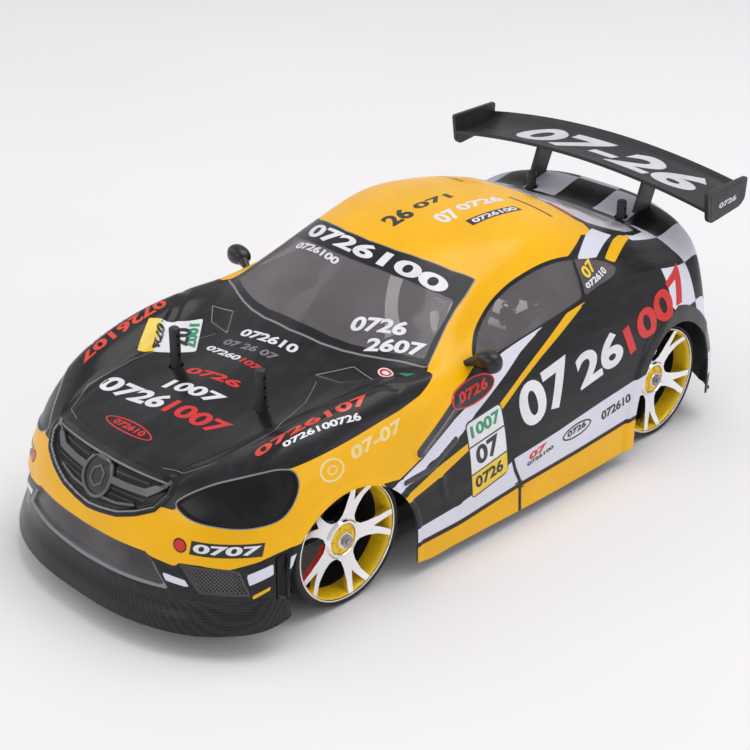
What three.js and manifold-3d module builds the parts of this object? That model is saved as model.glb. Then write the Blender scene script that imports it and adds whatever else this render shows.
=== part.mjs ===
// A 1:10 four-wheel-drive radio control drift car, as a three.js scene graph.
// Units are millimetres, +Z is up, the nose points to -Y and the car's left side is +X.
// The outer group is shifted so that the origin is the bottom centre of the whole car.

import * as THREE from 'three';
import { mergeVertices } from 'three/addons/utils/BufferGeometryUtils.js';
import Module from 'manifold-3d';

const wasm = await Module();
wasm.setup();

// ---------------------------------------------------------------- driving dimensions

const CENTRE_SHIFT_Y = -4.25;       // moves the drawing frame onto the bottom centre of the car
const WHEELBASE = 258;
const FRONT_AXLE_Y = -107;
const REAR_AXLE_Y = FRONT_AXLE_Y + WHEELBASE;

const TYRE_R = 36.5;
const TYRE_WIDTH = 26;
const WHEEL_X = 81;               // middle plane of the left wheels
const RIM_R = 33.3;
const BARREL_R = 30;
const SPOKES = 5;
const AXLE_Z = TYRE_R;

const PLATE_Z = 9;                // underside of the chassis plate
const PLATE_THICK = 2.5;
const DECK_Z = PLATE_Z + PLATE_THICK;
const GAP = 0.3;                  // kept between pieces that touch

const ARM_PIVOT_X = 24;
const ARM_LENGTH = 30;
const HUB_PIVOT_X = ARM_PIVOT_X + ARM_LENGTH;
const LOWER_Z = 20;
const UPPER_Z = 51;
const KINGPIN_X = 63;
const STEER_ARM = 20;             // how far the steering arm reaches behind the kingpin

const SHAFT_Z = 38;               // centre drive shaft
const SPUR_R = 22;
const PINION_R = 7.3;
const MOTOR_R = 17.4;
const MOTOR_X = 28;
const MOTOR_Z = SHAFT_Z - 8.6;

const SHELL_THICK = 1.2;
const POST_R = 3;
const FRONT_POST = { x: 35, y: -112.4, top: 116 };
const REAR_POST = { x: 36.2, y: 178.8, top: 129.6 };

// Stations of the body shell from the front lip over the roof to the tail. Each station runs
// from the centre line to the sill: [x, y, z] on eight rails.
const STATIONS = [
  // splitter edge and the hollow above it
  [[0, -212, 13], [34, -210, 13], [58, -203.5, 13], [76, -194, 13],
    [90, -182, 14], [98, -171, 15], [101.5, -161, 17], [101.5, -152, 19]],
  [[0, -210, 19], [34, -208, 19], [57, -201.5, 19], [75, -192, 19],
    [88.5, -180, 21], [96.5, -169, 23], [100, -159, 22], [100.5, -150, 19]],
  [[0, -206.5, 27], [33, -204.5, 27], [56, -198, 27], [74, -188.5, 27],
    [87, -177, 28], [95.5, -165, 29], [99.5, -155, 26], [100, -148, 19]],
  // bumper
  [[0, -203.5, 42], [32, -202, 42], [56, -196, 42], [74, -187, 42],
    [86.5, -175, 42], [95, -161, 41], [99.5, -149, 34], [100, -142, 19]],
  [[0, -199.5, 57], [32, -198, 57], [56, -192, 57], [73, -183, 58],
    [86, -169, 58], [94.5, -154, 55], [99.5, -141, 43], [100, -134, 19]],
  [[0, -193.5, 73], [31, -191, 73], [54, -185, 73.5], [72, -175, 74],
    [85, -162, 74], [94, -146, 70], [99.5, -131, 50], [100, -124, 19]],
  // bonnet and front wings
  [[0, -185, 83], [30, -182.5, 83], [52, -176, 84], [70, -164, 86],
    [82.5, -152, 87], [93, -136, 81], [99.5, -121, 56], [100, -114, 19]],
  [[0, -160, 89], [30, -158, 88], [54, -152, 90], [70, -143, 96],
    [80, -134, 98.5], [91.5, -121, 91], [99, -110, 62], [100, -106, 19]],
  [[0, -118, 95], [34, -116, 92.5], [58, -110, 96], [73, -103, 104],
    [82, -99, 106], [92.5, -93, 96], [99.5, -88, 66], [100.5, -86, 19]],
  [[0, -84, 101.5], [36, -81, 99], [64, -74, 101.5], [76, -68, 107],
    [84, -65, 107.5], [93.5, -62, 98], [100.5, -61, 66], [101.5, -61, 12]],
  // windscreen
  [[0, -66, 107], [38, -60, 106], [66, -49, 106], [78.5, -38, 106.5],
    [86, -36, 106], [93.5, -35, 99], [101, -35, 66], [102.5, -35, 8]],
  [[0, -35, 125.5], [34, -30, 124], [58, -20, 121], [70.5, -10, 120],
    [78, -6, 113.5], [90.5, -4, 102], [101.5, -4, 66], [103, -4, 8]],
  [[0, -3, 143.5], [33, 2, 142], [55, 12, 137.5], [63.5, 18, 133.5],
    [74, 20, 121], [90, 20, 103], [102, 20, 66], [103.5, 20, 8]],
  // roof
  [[0, 52, 153], [32, 53, 151.5], [53, 54, 147], [62, 55, 142.5],
    [75, 55, 128], [89.5, 56, 108.5], [102, 56, 68], [103.5, 56, 8]],
  [[0, 104, 147.5], [30, 104, 146], [51, 105, 141], [60.5, 106, 136],
    [75, 106, 123], [89, 104, 112.5], [102.5, 102, 70], [103.5, 102, 9]],
  // rear window and boot
  [[0, 140, 134], [28, 140, 133], [50, 141, 128.5], [61, 142, 123.5],
    [74, 141, 117.5], [89, 138, 109], [102.5, 134, 72], [103.5, 132, 12]],
  [[0, 173, 119.5], [28, 173, 119], [50, 174, 117.5], [64, 175, 115.5],
    [77, 174, 111], [90, 167, 103.5], [102.5, 162, 70], [103.5, 159, 14]],
  [[0, 207, 124], [28, 206, 123.5], [50, 203, 120.5], [66, 199, 116.5],
    [79, 194, 110.5], [89.5, 188, 99], [100.5, 182, 67], [102.5, 176, 15]],
  // tail
  [[0, 214.5, 100], [28, 213.5, 99.5], [52, 210, 98], [68, 204.5, 95],
    [80, 199, 89], [90, 192.5, 80], [99.5, 187, 56], [101.5, 183, 16]],
  [[0, 220.5, 66], [29, 219.5, 66], [54, 216, 65], [70, 211.5, 63],
    [82, 206.5, 58], [91, 200.5, 50], [97.5, 196, 36], [99.5, 192, 17]],
  [[0, 218, 20], [29, 217, 20], [54, 214, 20], [69, 210, 20],
    [80, 205.5, 20], [89.5, 200, 20], [95, 197, 19], [98, 195, 18]],
];

// ---------------------------------------------------------------- materials

function finish(color, roughness, metalness) {
  return new THREE.MeshStandardMaterial({ color, roughness, metalness });
}

const paint = () => finish(0xf2b92a, 0.25, 0.0);
const satinBlack = () => finish(0x2a2a2c, 0.45, 0.0);
const glossBlack = () => finish(0x101012, 0.15, 0.0);
const nylon = () => finish(0x1d1d1f, 0.6, 0.0);
const chrome = () => finish(0xe4e4e6, 0.1, 1.0);
const rubber = () => finish(0x151515, 0.8, 0.0);
const steel = () => finish(0x9a9ca0, 0.3, 1.0);
const aluminium = () => finish(0xc4c6ca, 0.3, 1.0);
const redPlastic = () => finish(0xc4251f, 0.4, 0.0);
const bluePlastic = () => finish(0x1f4fa8, 0.4, 0.0);
const foam = () => finish(0x303032, 0.95, 0.0);
const whitePlastic = () => finish(0xd9d6cc, 0.5, 0.0);

// ---------------------------------------------------------------- solids

function toSolid(geometry) {
  const plain = geometry.index ? geometry : geometry.clone();
  plain.deleteAttribute('normal');
  plain.deleteAttribute('uv');
  const merged = mergeVertices(plain, 1e-4);
  const vertProperties = new Float32Array(merged.attributes.position.array);
  const triVerts = new Uint32Array(merged.index.array);
  return new wasm.Manifold(new wasm.Mesh({ numProp: 3, vertProperties, triVerts }));
}

function toGeometry(solid) {
  const mesh = solid.getMesh();
  const geometry = new THREE.BufferGeometry();
  geometry.setAttribute('position', new THREE.BufferAttribute(mesh.vertProperties, 3));
  geometry.setIndex(new THREE.BufferAttribute(mesh.triVerts, 1));
  geometry.computeVertexNormals();
  return geometry;
}

function join(...solids) {
  return solids.reduce((sum, next) => sum.add(next));
}

function box(xs, ys, zs) {
  const size = [xs, ys, zs].map(([low, high]) => Math.abs(high - low));
  const middle = [xs, ys, zs].map(([low, high]) => (low + high) / 2);
  return toSolid(new THREE.BoxGeometry(...size).translate(...middle));
}

function rod(from, to, radius, sides = 12, endRadius = radius) {
  const start = new THREE.Vector3(...from);
  const end = new THREE.Vector3(...to);
  const along = end.clone().sub(start);
  const geometry = new THREE.CylinderGeometry(endRadius, radius, along.length(), sides);
  const turn = new THREE.Quaternion();
  turn.setFromUnitVectors(new THREE.Vector3(0, 1, 0), along.normalize());
  geometry.applyQuaternion(turn);
  geometry.translate(...start.add(end).multiplyScalar(0.5).toArray());
  return toSolid(geometry);
}

// An outline drawn in two axes and extruded along the third one, between low and high.
function slab(outline, axis, low, high) {
  const shape = new THREE.Shape(outline.map(([a, b]) => new THREE.Vector2(a, b)));
  const geometry = new THREE.ExtrudeGeometry(shape, {
    depth: high - low, bevelEnabled: false, curveSegments: 6,
  });
  const place = {
    z: new THREE.Matrix4().set(1, 0, 0, 0, 0, 1, 0, 0, 0, 0, 1, low, 0, 0, 0, 1),
    x: new THREE.Matrix4().set(0, 0, 1, low, 1, 0, 0, 0, 0, 1, 0, 0, 0, 0, 0, 1),
    y: new THREE.Matrix4().set(1, 0, 0, 0, 0, 0, -1, high, 0, 1, 0, 0, 0, 0, 0, 1),
  };
  return toSolid(geometry.applyMatrix4(place[axis]));
}

function arcPoints(cx, cy, rx, ry, fromDegrees, toDegrees, steps) {
  const points = [];
  for (let i = 0; i <= steps; i += 1) {
    const angle = THREE.MathUtils.degToRad(fromDegrees + (toDegrees - fromDegrees) * i / steps);
    points.push([cx + rx * Math.cos(angle), cy + ry * Math.sin(angle)]);
  }
  return points;
}

// A closed profile of [radius, offset] turned about the X axis.
function turned(profile, segments) {
  const points = profile.map(([radius, offset]) => new THREE.Vector2(radius, offset));
  const geometry = new THREE.LatheGeometry([...points, points[0]], segments);
  geometry.rotateZ(-Math.PI / 2);
  return toSolid(geometry);
}

// ---------------------------------------------------------------- the car and its pieces

const car = new THREE.Group();
car.position.y = CENTRE_SHIFT_Y;

function add(name, solid, material) {
  const mesh = new THREE.Mesh(toGeometry(solid), material);
  mesh.name = name;
  car.add(mesh);
  return mesh;
}

const CORNERS = [
  { tag: 'front_left', side: 1, y: FRONT_AXLE_Y, front: true },
  { tag: 'front_right', side: -1, y: FRONT_AXLE_Y, front: true },
  { tag: 'rear_left', side: 1, y: REAR_AXLE_Y, front: false },
  { tag: 'rear_right', side: -1, y: REAR_AXLE_Y, front: false },
];

// Orders a pair of X values for either side of the car.
const across = (side, a, b) => (side > 0 ? [a, b] : [-b, -a]);

// ---- body shell

function smooth(points, steps) {
  const curve = new THREE.CatmullRomCurve3(points, false, 'centripetal');
  const out = [];
  for (let i = 0; i <= (points.length - 1) * steps; i += 1) {
    out.push(curve.getPoint(i / ((points.length - 1) * steps)));
  }
  return out;
}

function shellGrid(lengthSteps) {
  const rails = STATIONS[0].map((_, j) => (
    smooth(STATIONS.map((station) => new THREE.Vector3(...station[j])), lengthSteps)
  ));
  return rails[0].map((_, i) => {
    const half = rails.map((rail) => rail[i]);
    const other = half.slice(1).map((point) => new THREE.Vector3(-point.x, point.y, point.z));
    return [...half.slice().reverse(), ...other];
  });
}

function gridNormal(grid, i, j) {
  const rows = grid.length - 1;
  const cols = grid[0].length - 1;
  const along = grid[Math.min(i + 1, rows)][j].clone().sub(grid[Math.max(i - 1, 0)][j]);
  const sideways = grid[i][Math.min(j + 1, cols)].clone().sub(grid[i][Math.max(j - 1, 0)]);
  return along.cross(sideways).normalize();
}

// Joins an outer grid of points and the same grid moved inwards into one closed thin shell.
function thinShell(grid, thickness) {
  const rows = grid.length;
  const cols = grid[0].length;
  const outer = grid.flat();
  const inner = outer.map((point, k) => {
    const normal = gridNormal(grid, Math.floor(k / cols), k % cols);
    return point.clone().addScaledVector(normal, -thickness);
  });
  const positions = [...outer, ...inner].flatMap((point) => point.toArray());
  const skip = rows * cols;
  const at = (i, j) => i * cols + j;
  const index = [];
  const quad = (a, b, c, d) => index.push(a, b, c, a, c, d);
  for (let i = 0; i < rows - 1; i += 1) {
    for (let j = 0; j < cols - 1; j += 1) {
      const [a, b, c, d] = [at(i, j), at(i + 1, j), at(i + 1, j + 1), at(i, j + 1)];
      quad(a, b, c, d);
      quad(d + skip, c + skip, b + skip, a + skip);
    }
    quad(at(i + 1, 0), at(i, 0), at(i, 0) + skip, at(i + 1, 0) + skip);
    quad(at(i, cols - 1), at(i + 1, cols - 1), at(i + 1, cols - 1) + skip, at(i, cols - 1) + skip);
  }
  for (let j = 0; j < cols - 1; j += 1) {
    quad(at(0, j), at(0, j + 1), at(0, j + 1) + skip, at(0, j) + skip);
    quad(at(rows - 1, j + 1), at(rows - 1, j), at(rows - 1, j) + skip, at(rows - 1, j + 1) + skip);
  }
  const geometry = new THREE.BufferGeometry();
  geometry.setAttribute('position', new THREE.Float32BufferAttribute(positions, 3));
  geometry.setIndex(index);
  return toSolid(geometry);
}

function archOutline(y, z, halfWidth, height) {
  return [[y + halfWidth, -5], ...arcPoints(y, z, halfWidth, height, 0, 180, 14), [y - halfWidth, -5]];
}

function bodyShell() {
  let shell = thinShell(shellGrid(2), SHELL_THICK);
  const arches = [archOutline(-109.5, 24, 44.5, 46), archOutline(156, 24, 33, 52)];
  for (const outline of arches) {
    shell = shell.subtract(slab(outline, 'x', 84, 120));
    shell = shell.subtract(slab(outline, 'x', -120, -84));
  }
  for (const post of [FRONT_POST, REAR_POST]) {
    for (const x of [post.x, -post.x]) {
      shell = shell.subtract(rod([x, post.y, 70], [x, post.y, 150], POST_R + 1.2, 12));
    }
  }
  return shell;
}

add('body_shell', bodyShell(), paint());

// ---- rear wing, its struts and the mirrors

const WING = { front: 174, rear: 211, halfSpan: 99.5, tip: 140, arch: 9, thick: 2.6 };
const STRUT = { x: 42, thick: 2.4, topY: 204, footY: 190 };

const wingHeight = (x) => WING.tip + WING.arch * (1 - (x / WING.halfSpan) ** 2);

// The blade is a curved sheet: a thin strip across the car, with a lip at its rear edge.
function wingBlade() {
  const grid = [];
  const chord = [[0, 2.4], [0.3, 0.4], [0.65, 0.6], [0.9, 3], [1, 7]];
  for (const [share, rise] of chord) {
    const row = [];
    for (let k = 0; k <= 10; k += 1) {
      const x = WING.halfSpan * (1 - k / 5);
      const y = THREE.MathUtils.lerp(WING.front, WING.rear, share);
      row.push(new THREE.Vector3(x, y, wingHeight(x) + rise));
    }
    grid.push(row);
  }
  return thinShell(grid, WING.thick);
}

function endPlate(side) {
  const outline = [
    [WING.front - 1, 153], [WING.front + 1.5, 135], [WING.front + 5, 132.5],
    [WING.rear - 6, 136], [WING.rear - 1, 139.5], [WING.rear, 153.4],
  ];
  return slab(outline, 'x', ...across(side, WING.halfSpan - 0.8, WING.halfSpan + 2));
}

add('rear_wing', join(wingBlade(), endPlate(1), endPlate(-1)), satinBlack());

// Height of the shell's outer skin under a point, found on the drawn surface.
function skinHeight(x, y) {
  let best = { distance: Infinity, z: 0 };
  for (const row of shellGrid(6)) {
    for (let j = 0; j < row.length - 1; j += 1) {
      for (let k = 0; k < 6; k += 1) {
        const point = row[j].clone().lerp(row[j + 1], k / 6);
        const distance = Math.hypot(point.x - x, point.y - y);
        if (point.z > 60 && distance < best.distance) best = { distance, z: point.z };
      }
    }
  }
  return best.z;
}

function wingStrut(side) {
  const x = side * STRUT.x;
  const foot = skinHeight(x, STRUT.footY) + GAP + 0.4;
  const top = wingHeight(x) - WING.thick - GAP;
  const outline = [
    [STRUT.footY - 7, foot], [STRUT.footY + 8, foot], [STRUT.footY + 10, foot + 5],
    [STRUT.topY + 4, top], [STRUT.topY - 12, top], [STRUT.footY - 5, foot + 5],
  ];
  return slab(outline, 'x', x - STRUT.thick / 2, x + STRUT.thick / 2);
}

function mirror(side) {
  const head = new THREE.SphereGeometry(1, 12, 8);
  head.scale(9.8, 6.5, 6);
  head.translate(side * 98.7, -12, 109);
  const stalk = rod([side * 92.6, -14, 104], [side * 95, -12, 108], 1.8, 8);
  return join(toSolid(head), stalk);
}

for (const [tag, side] of [['left', 1], ['right', -1]]) {
  add(`wing_strut_${tag}`, wingStrut(side), satinBlack());
  add(`mirror_${tag}`, mirror(side), glossBlack());
}

// ---- chassis

const BATTERY = { x: [-65, -24], y: [-38, 98], z: [DECK_Z + GAP, 36] };

function chassisPlate() {
  const half = [
    [14, -172], [24, -172], [30, -150], [30, -128], [19, -122], [19, -92], [30, -84],
    [60, -66], [68, -52], [68, 92], [54, 116], [24, 134], [19, 138], [19, 166],
    [30, 172], [30, 190], [14, 196],
  ];
  const outline = [...half, ...half.slice().reverse().map(([x, y]) => [-x, y])];
  let plate = slab(outline, 'z', PLATE_Z, DECK_Z);
  for (const side of [1, -1]) {
    const rail = slab([[65.5, -50], [68, -50], [68, 92], [65.5, 92]].map(([x, y]) => [side * x, y]),
      'z', DECK_Z - 0.5, DECK_Z + 9);
    plate = plate.add(rail);
  }
  return plate;
}

function motorMount() {
  const plate = slab([[9, DECK_Z + GAP], [50, DECK_Z + GAP], [50, 40], [42, 50], [14, 50], [9, 40]],
    'y', 73.4, 75.4);
  return plate.subtract(rod([MOTOR_X, 70, MOTOR_Z], [MOTOR_X, 80, MOTOR_Z], 3.2, 12));
}

function motor() {
  return join(
    rod([MOTOR_X, 76, MOTOR_Z], [MOTOR_X, 122, MOTOR_Z], MOTOR_R, 20),
    rod([MOTOR_X, 121, MOTOR_Z], [MOTOR_X, 127, MOTOR_Z], 8, 12),
  );
}

function gearbox(y, low, high) {
  const outline = [[-17, DECK_Z + GAP], [17, DECK_Z + GAP], [17, 42], [12, 50], [-12, 50], [-17, 42]];
  return slab(outline, 'y', y + low, y + high);
}

function shockTower(y, postFootHigh) {
  const half = [
    [10, 51], [13, 51], [18.6, 44], [22, 57], [30, 70], [41, postFootHigh], [36, postFootHigh + 4],
    [24, postFootHigh + 4], [10, 62],
  ];
  const outline = [...half, ...half.slice().reverse().map(([x, z]) => [-x, z])];
  return slab(outline, 'y', y, y + 3);
}

function foamBumper() {
  const outline = [
    [-62, -178], ...arcPoints(0, -176, 62, 22, 180, 360, 8).slice(1, -1), [62, -178],
    [60, -174], [26, -173], [-26, -173], [-60, -174],
  ];
  return slab(outline, 'z', 16, 46);
}

function bodyPost(post, side, towerFace, footZ) {
  const x = side * post.x;
  const shaft = rod([x, post.y, footZ], [x, post.y, post.top], POST_R, 10);
  const foot = box([x - 4, x + 4], [towerFace, post.y], [footZ, footZ + 8]);
  return join(shaft, foot);
}

const FRONT_TOWER_Y = FRONT_AXLE_Y - 12;
const REAR_TOWER_Y = REAR_AXLE_Y + 9;
const FRONT_SHOCK_Y = FRONT_AXLE_Y - 18.2;
const REAR_SHOCK_Y = REAR_AXLE_Y + 18.5;
const TOWER_TOP = 82;

add('chassis_plate', chassisPlate(), nylon());
add('battery_pack', box(BATTERY.x, BATTERY.y, BATTERY.z), bluePlastic());
add('motor_mount', motorMount(), aluminium());
add('motor', motor(), steel());
add('speed_controller', box([12, 46], [-12, 28], [DECK_Z + GAP, 32]), glossBlack());
add('receiver', box([12, 40], [34, 62], [DECK_Z + GAP, 24]), whitePlastic());
add('steering_servo', join(
  box([12, 32], [-78, -38], [DECK_Z + GAP, 40]),
  rod([22, -68, 40], [22, -68, 44], 5, 12),
  box([19, 25], [-80, -66], [41.5, 44]),
), glossBlack());
add('front_gearbox', gearbox(FRONT_AXLE_Y, -14.5, 14), nylon());
add('rear_gearbox', gearbox(REAR_AXLE_Y, -14, 14), nylon());
add('front_shock_tower', shockTower(FRONT_TOWER_Y, TOWER_TOP), nylon());
add('rear_shock_tower', shockTower(REAR_TOWER_Y, TOWER_TOP), nylon());
add('foam_bumper', foamBumper(), foam());
for (const [tag, side] of [['left', 1], ['right', -1]]) {
  const front = bodyPost(FRONT_POST, side, FRONT_TOWER_Y + 3 + GAP, 72);
  const rear = bodyPost(REAR_POST, side, REAR_TOWER_Y + 3 + GAP, 89);
  add(`body_post_front_${tag}`, front, nylon());
  add(`body_post_rear_${tag}`, rear, nylon());
}

// ---- drivetrain

function gear(x, y, z, radius, teeth, width) {
  const outline = [];
  for (let i = 0; i < teeth; i += 1) {
    for (const [share, reach] of [[0, 1.1], [0.35, 1.1], [0.5, -1.1], [0.85, -1.1]]) {
      const angle = (i + share) / teeth * 2 * Math.PI;
      outline.push([x + (radius + reach) * Math.cos(angle), z + (radius + reach) * Math.sin(angle)]);
    }
  }
  return slab(outline, 'y', y, y + width);
}

const GEAR_Y = 65;
const GEAR_CLEARANCE = 1.5;       // keeps the teeth apart, since the ratio alone links them

add('spur_gear', gear(0, GEAR_Y, SHAFT_Z, SPUR_R - GEAR_CLEARANCE, 32, 5)
  .subtract(rod([0, GEAR_Y - 2, SHAFT_Z], [0, GEAR_Y + 8, SHAFT_Z], 2.8, 12)), whitePlastic());
add('centre_shaft', rod([0, FRONT_AXLE_Y + 14.5, SHAFT_Z], [0, REAR_AXLE_Y - 14.5, SHAFT_Z], 2.5, 10),
  steel());
add('pinion_gear', join(
  gear(MOTOR_X, GEAR_Y, MOTOR_Z, PINION_R - GEAR_CLEARANCE, 11, 5),
  rod([MOTOR_X, GEAR_Y + 4, MOTOR_Z], [MOTOR_X, 75.6, MOTOR_Z], 1.6, 8),
), steel());

// ---- suspension and steering, one corner at a time

function lowerArm(side, y) {
  const half = [
    [ARM_PIVOT_X - 3, 13], [ARM_PIVOT_X + 3, 13], [HUB_PIVOT_X - 8, 9.5], [HUB_PIVOT_X + 3, 9.5],
    [HUB_PIVOT_X + 3, 6.2], [HUB_PIVOT_X - 5, 6.2],
  ];
  const outline = [
    ...half, ...half.slice().reverse().map(([x, reach]) => [x, -reach]),
  ].map(([x, reach]) => [side * x, y + reach]);
  const hole = [[30, -5], [43, -4], [43, 4], [30, 5]].map(([x, reach]) => [side * x, y + reach]);
  return slab(outline, 'z', LOWER_Z - 2.5, LOWER_Z + 2.5)
    .subtract(slab(hole, 'z', LOWER_Z - 4, LOWER_Z + 4));
}

function upperLink(side, y) {
  const start = [side * ARM_PIVOT_X, y, UPPER_Z];
  const end = [side * HUB_PIVOT_X, y, UPPER_Z];
  return join(
    rod(start, end, 1.6, 8),
    rod([start[0], y - 2.5, UPPER_Z], [start[0], y + 2.5, UPPER_Z], 3.2, 10),
    rod([end[0], y - 2.5, UPPER_Z], [end[0], y + 2.5, UPPER_Z], 3.2, 10),
  );
}

// The front carrier is a C that holds the kingpins; its window lets the drive shaft through.
function frontCarrier(side, y) {
  const back = box(across(side, 52, 56), [y - 9, y + 9], [26, 46.5]);
  const window = box(across(side, 48, 60), [y - 5.5, y + 5.5], [30.5, 42.5]);
  return join(
    back.subtract(window),
    box(across(side, 50, 57.5), [y - 5.8, y + 5.8], [LOWER_Z - 3, 27]),
    box(across(side, 55, KINGPIN_X + 4), [y - 5, y + 5], [25, 28.2]),
    box(across(side, 55, KINGPIN_X + 4), [y - 5, y + 5], [44.4, 47]),
  );
}

function rearCarrier(side, y) {
  const block = join(
    box(across(side, 57.8, 67.5), [y - 9, y + 9], [26, 47]),
    box(across(side, 50, 58), [y - 5.8, y + 5.8], [LOWER_Z - 3, 30]),
    box(across(side, 57, 62), [y - 5.8, y + 5.8], [LOWER_Z - 3, 30]),
  );
  return block.subtract(rod([side * 48, y, AXLE_Z], [side * 80, y, AXLE_Z], 4.2, 12));
}

function knuckle(side, y) {
  const block = box(across(side, 59.5, 67.5), [y - 6.8, y + 6.8], [28.8, 43.8]);
  const arm = slab([
    [side * 60, y + 5], [side * 66, y + 5], [side * 65, y + STEER_ARM + 3],
    [side * 59, y + STEER_ARM + 3],
  ], 'z', 39.5, 42.5);
  return join(block, arm).subtract(rod([side * 50, y, AXLE_Z], [side * 80, y, AXLE_Z], 4.2, 12));
}

function shock(side, y) {
  const top = [side * 31, y, TOWER_TOP - 4];
  const bottom = [side * 46, y, LOWER_Z + 4.5];
  const at = (share) => top.map((value, k) => value + (bottom[k] - value) * share);
  return join(
    rod([top[0], y - 3, top[2]], [top[0], y + 3, top[2]], 3.5, 10),
    rod(at(0.03), at(0.42), 4.6, 10),
    rod(at(0.4), at(0.9), 5.4, 12),
    rod(at(0.85), at(1), 1.8, 8),
    rod([bottom[0], y - 3, bottom[2]], [bottom[0], y + 3, bottom[2]], 3.2, 10),
  );
}

function driveShaft(side, y) {
  return join(
    rod([side * 18, y, AXLE_Z], [side * 21, y, AXLE_Z], 5, 10),
    rod([side * 20, y, AXLE_Z], [side * 55, y, AXLE_Z], 2, 8),
    rod([side * 52, y, AXLE_Z], [side * 57, y, AXLE_Z], 3.4, 10),
  );
}

function caliper(side, y, front) {
  const turn = front ? [150, 200] : [100, 150];
  const outer = arcPoints(y, AXLE_Z, 25.5, 25.5, turn[0], turn[1], 4);
  const inner = arcPoints(y, AXLE_Z, 16.5, 16.5, turn[1], turn[0], 4);
  return slab([...outer, ...inner], 'x', ...across(side, 70, 77.5));
}

for (const { tag, side, y, front } of CORNERS) {
  add(`lower_arm_${tag}`, lowerArm(side, y), nylon());
  add(`upper_link_${tag}`, upperLink(side, y), steel());
  add(`hub_carrier_${tag}`, front ? frontCarrier(side, y) : rearCarrier(side, y), nylon());
  add(`shock_${tag}`, shock(side, front ? FRONT_SHOCK_Y : REAR_SHOCK_Y), redPlastic());
  add(`drive_shaft_${tag}`, driveShaft(side, y), steel());
  add(`brake_caliper_${tag}`, caliper(side, y, front), redPlastic());
  if (front) add(`steering_knuckle_${side > 0 ? 'left' : 'right'}`, knuckle(side, y), nylon());
}

function steeringLink() {
  const y = FRONT_AXLE_Y + STEER_ARM;
  return join(
    box([-60, 60], [y - 2.5, y + 2.5], [46, 49]),
    rod([62, y, 46], [62, y, 49], 4, 10),
    rod([-62, y, 46], [-62, y, 49], 4, 10),
  );
}

add('steering_link', steeringLink(), nylon());

// ---- wheels: drawn facing +X about their own centre, then placed at each corner

const RIM_OUTER = 12.2;           // the rim's outer lip, from the wheel's middle plane

// Five forked spokes as one flat star: each fork has two blades that end under the rim.
function spokeOutline() {
  const at = (radius, angle) => [radius * Math.cos(angle), radius * Math.sin(angle)];
  const reach = BARREL_R + 1;
  const points = [];
  for (let i = 0; i < SPOKES; i += 1) {
    const angle = 2 * Math.PI * (i + 0.25) / SPOKES;
    points.push(at(reach, angle - 0.3), at(reach, angle - 0.16), at(13, angle));
    points.push(at(reach, angle + 0.16), at(reach, angle + 0.3));
    points.push(at(9.5, angle + Math.PI / SPOKES));
  }
  return points;
}

function rimSolid() {
  const barrel = turned([
    [RIM_R, RIM_OUTER - 2], [RIM_R, RIM_OUTER], [RIM_R - 1.6, RIM_OUTER],
    [BARREL_R, RIM_OUTER - 4.5], [BARREL_R, -12], [RIM_R, -12], [RIM_R, -10],
    [BARREL_R + 1.3, -9], [BARREL_R + 1.3, 6],
  ], 32);
  return join(
    barrel,
    slab(spokeOutline(), 'x', 3.5, 7),
    rod([-17, 0, 0], [4, 0, 0], 3, 10),
    rod([1, 0, 0], [8, 0, 0], 8.6, 16),
  );
}

function tyreSolid() {
  const half = TYRE_WIDTH / 2;
  const bead = RIM_R + GAP;
  return turned([
    [TYRE_R, half - 3], [TYRE_R - 1.4, half - 0.6], [bead, half - 1.2],
    [bead, 1 - half], [TYRE_R - 1.4, 0.6 - half], [TYRE_R, 3 - half],
  ], 40);
}

function addWheel(tag, side, y) {
  const wheel = new THREE.Group();
  wheel.position.set(side * WHEEL_X, y, AXLE_Z);
  wheel.rotation.z = side > 0 ? 0 : Math.PI;
  const pieces = { rim: [rimSolid(), chrome()], tyre: [tyreSolid(), rubber()] };
  for (const [kind, [solid, material]] of Object.entries(pieces)) {
    const mesh = add(`${kind}_${tag}`, solid, material);
    wheel.add(mesh);
  }
  car.add(wheel);
}

for (const { tag, side, y } of CORNERS) {
  addWheel(tag, side, y);
}

export default car;
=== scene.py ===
"""Looks for a tenth-scale drift car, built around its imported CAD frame.

Lengths are millimetres in the row frame (nose towards -Y, the car's left is +X) until a mesh is made.
"""

import math

import bmesh
import bpy
import numpy as np
from mathutils import Matrix, Vector
from mathutils.bvhtree import BVHTree
from mathutils.geometry import delaunay_2d_cdt


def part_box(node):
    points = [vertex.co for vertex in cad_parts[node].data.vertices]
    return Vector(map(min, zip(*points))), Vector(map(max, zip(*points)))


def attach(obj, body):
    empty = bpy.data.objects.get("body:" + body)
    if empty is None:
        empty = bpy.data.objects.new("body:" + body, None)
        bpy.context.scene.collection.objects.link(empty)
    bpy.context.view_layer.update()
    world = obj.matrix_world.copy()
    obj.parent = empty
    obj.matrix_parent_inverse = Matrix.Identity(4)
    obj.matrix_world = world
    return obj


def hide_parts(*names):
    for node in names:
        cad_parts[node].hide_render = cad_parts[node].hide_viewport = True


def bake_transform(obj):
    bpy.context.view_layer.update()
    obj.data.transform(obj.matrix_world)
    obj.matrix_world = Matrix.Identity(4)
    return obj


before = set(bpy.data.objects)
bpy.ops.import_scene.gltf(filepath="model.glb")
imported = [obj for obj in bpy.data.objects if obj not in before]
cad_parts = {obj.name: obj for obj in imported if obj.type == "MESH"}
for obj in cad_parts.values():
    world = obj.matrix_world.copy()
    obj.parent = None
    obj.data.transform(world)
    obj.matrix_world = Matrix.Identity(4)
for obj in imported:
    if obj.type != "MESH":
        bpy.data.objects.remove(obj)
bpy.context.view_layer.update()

MM = 0.001
PAINT_EDGE = 0.16      # width of the soft border between two paints


def box_mm(node):
    """Lowest and highest corner of a CAD node, in millimetres."""
    low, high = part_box(node)
    return np.array(low) / MM, np.array(high) / MM


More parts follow.
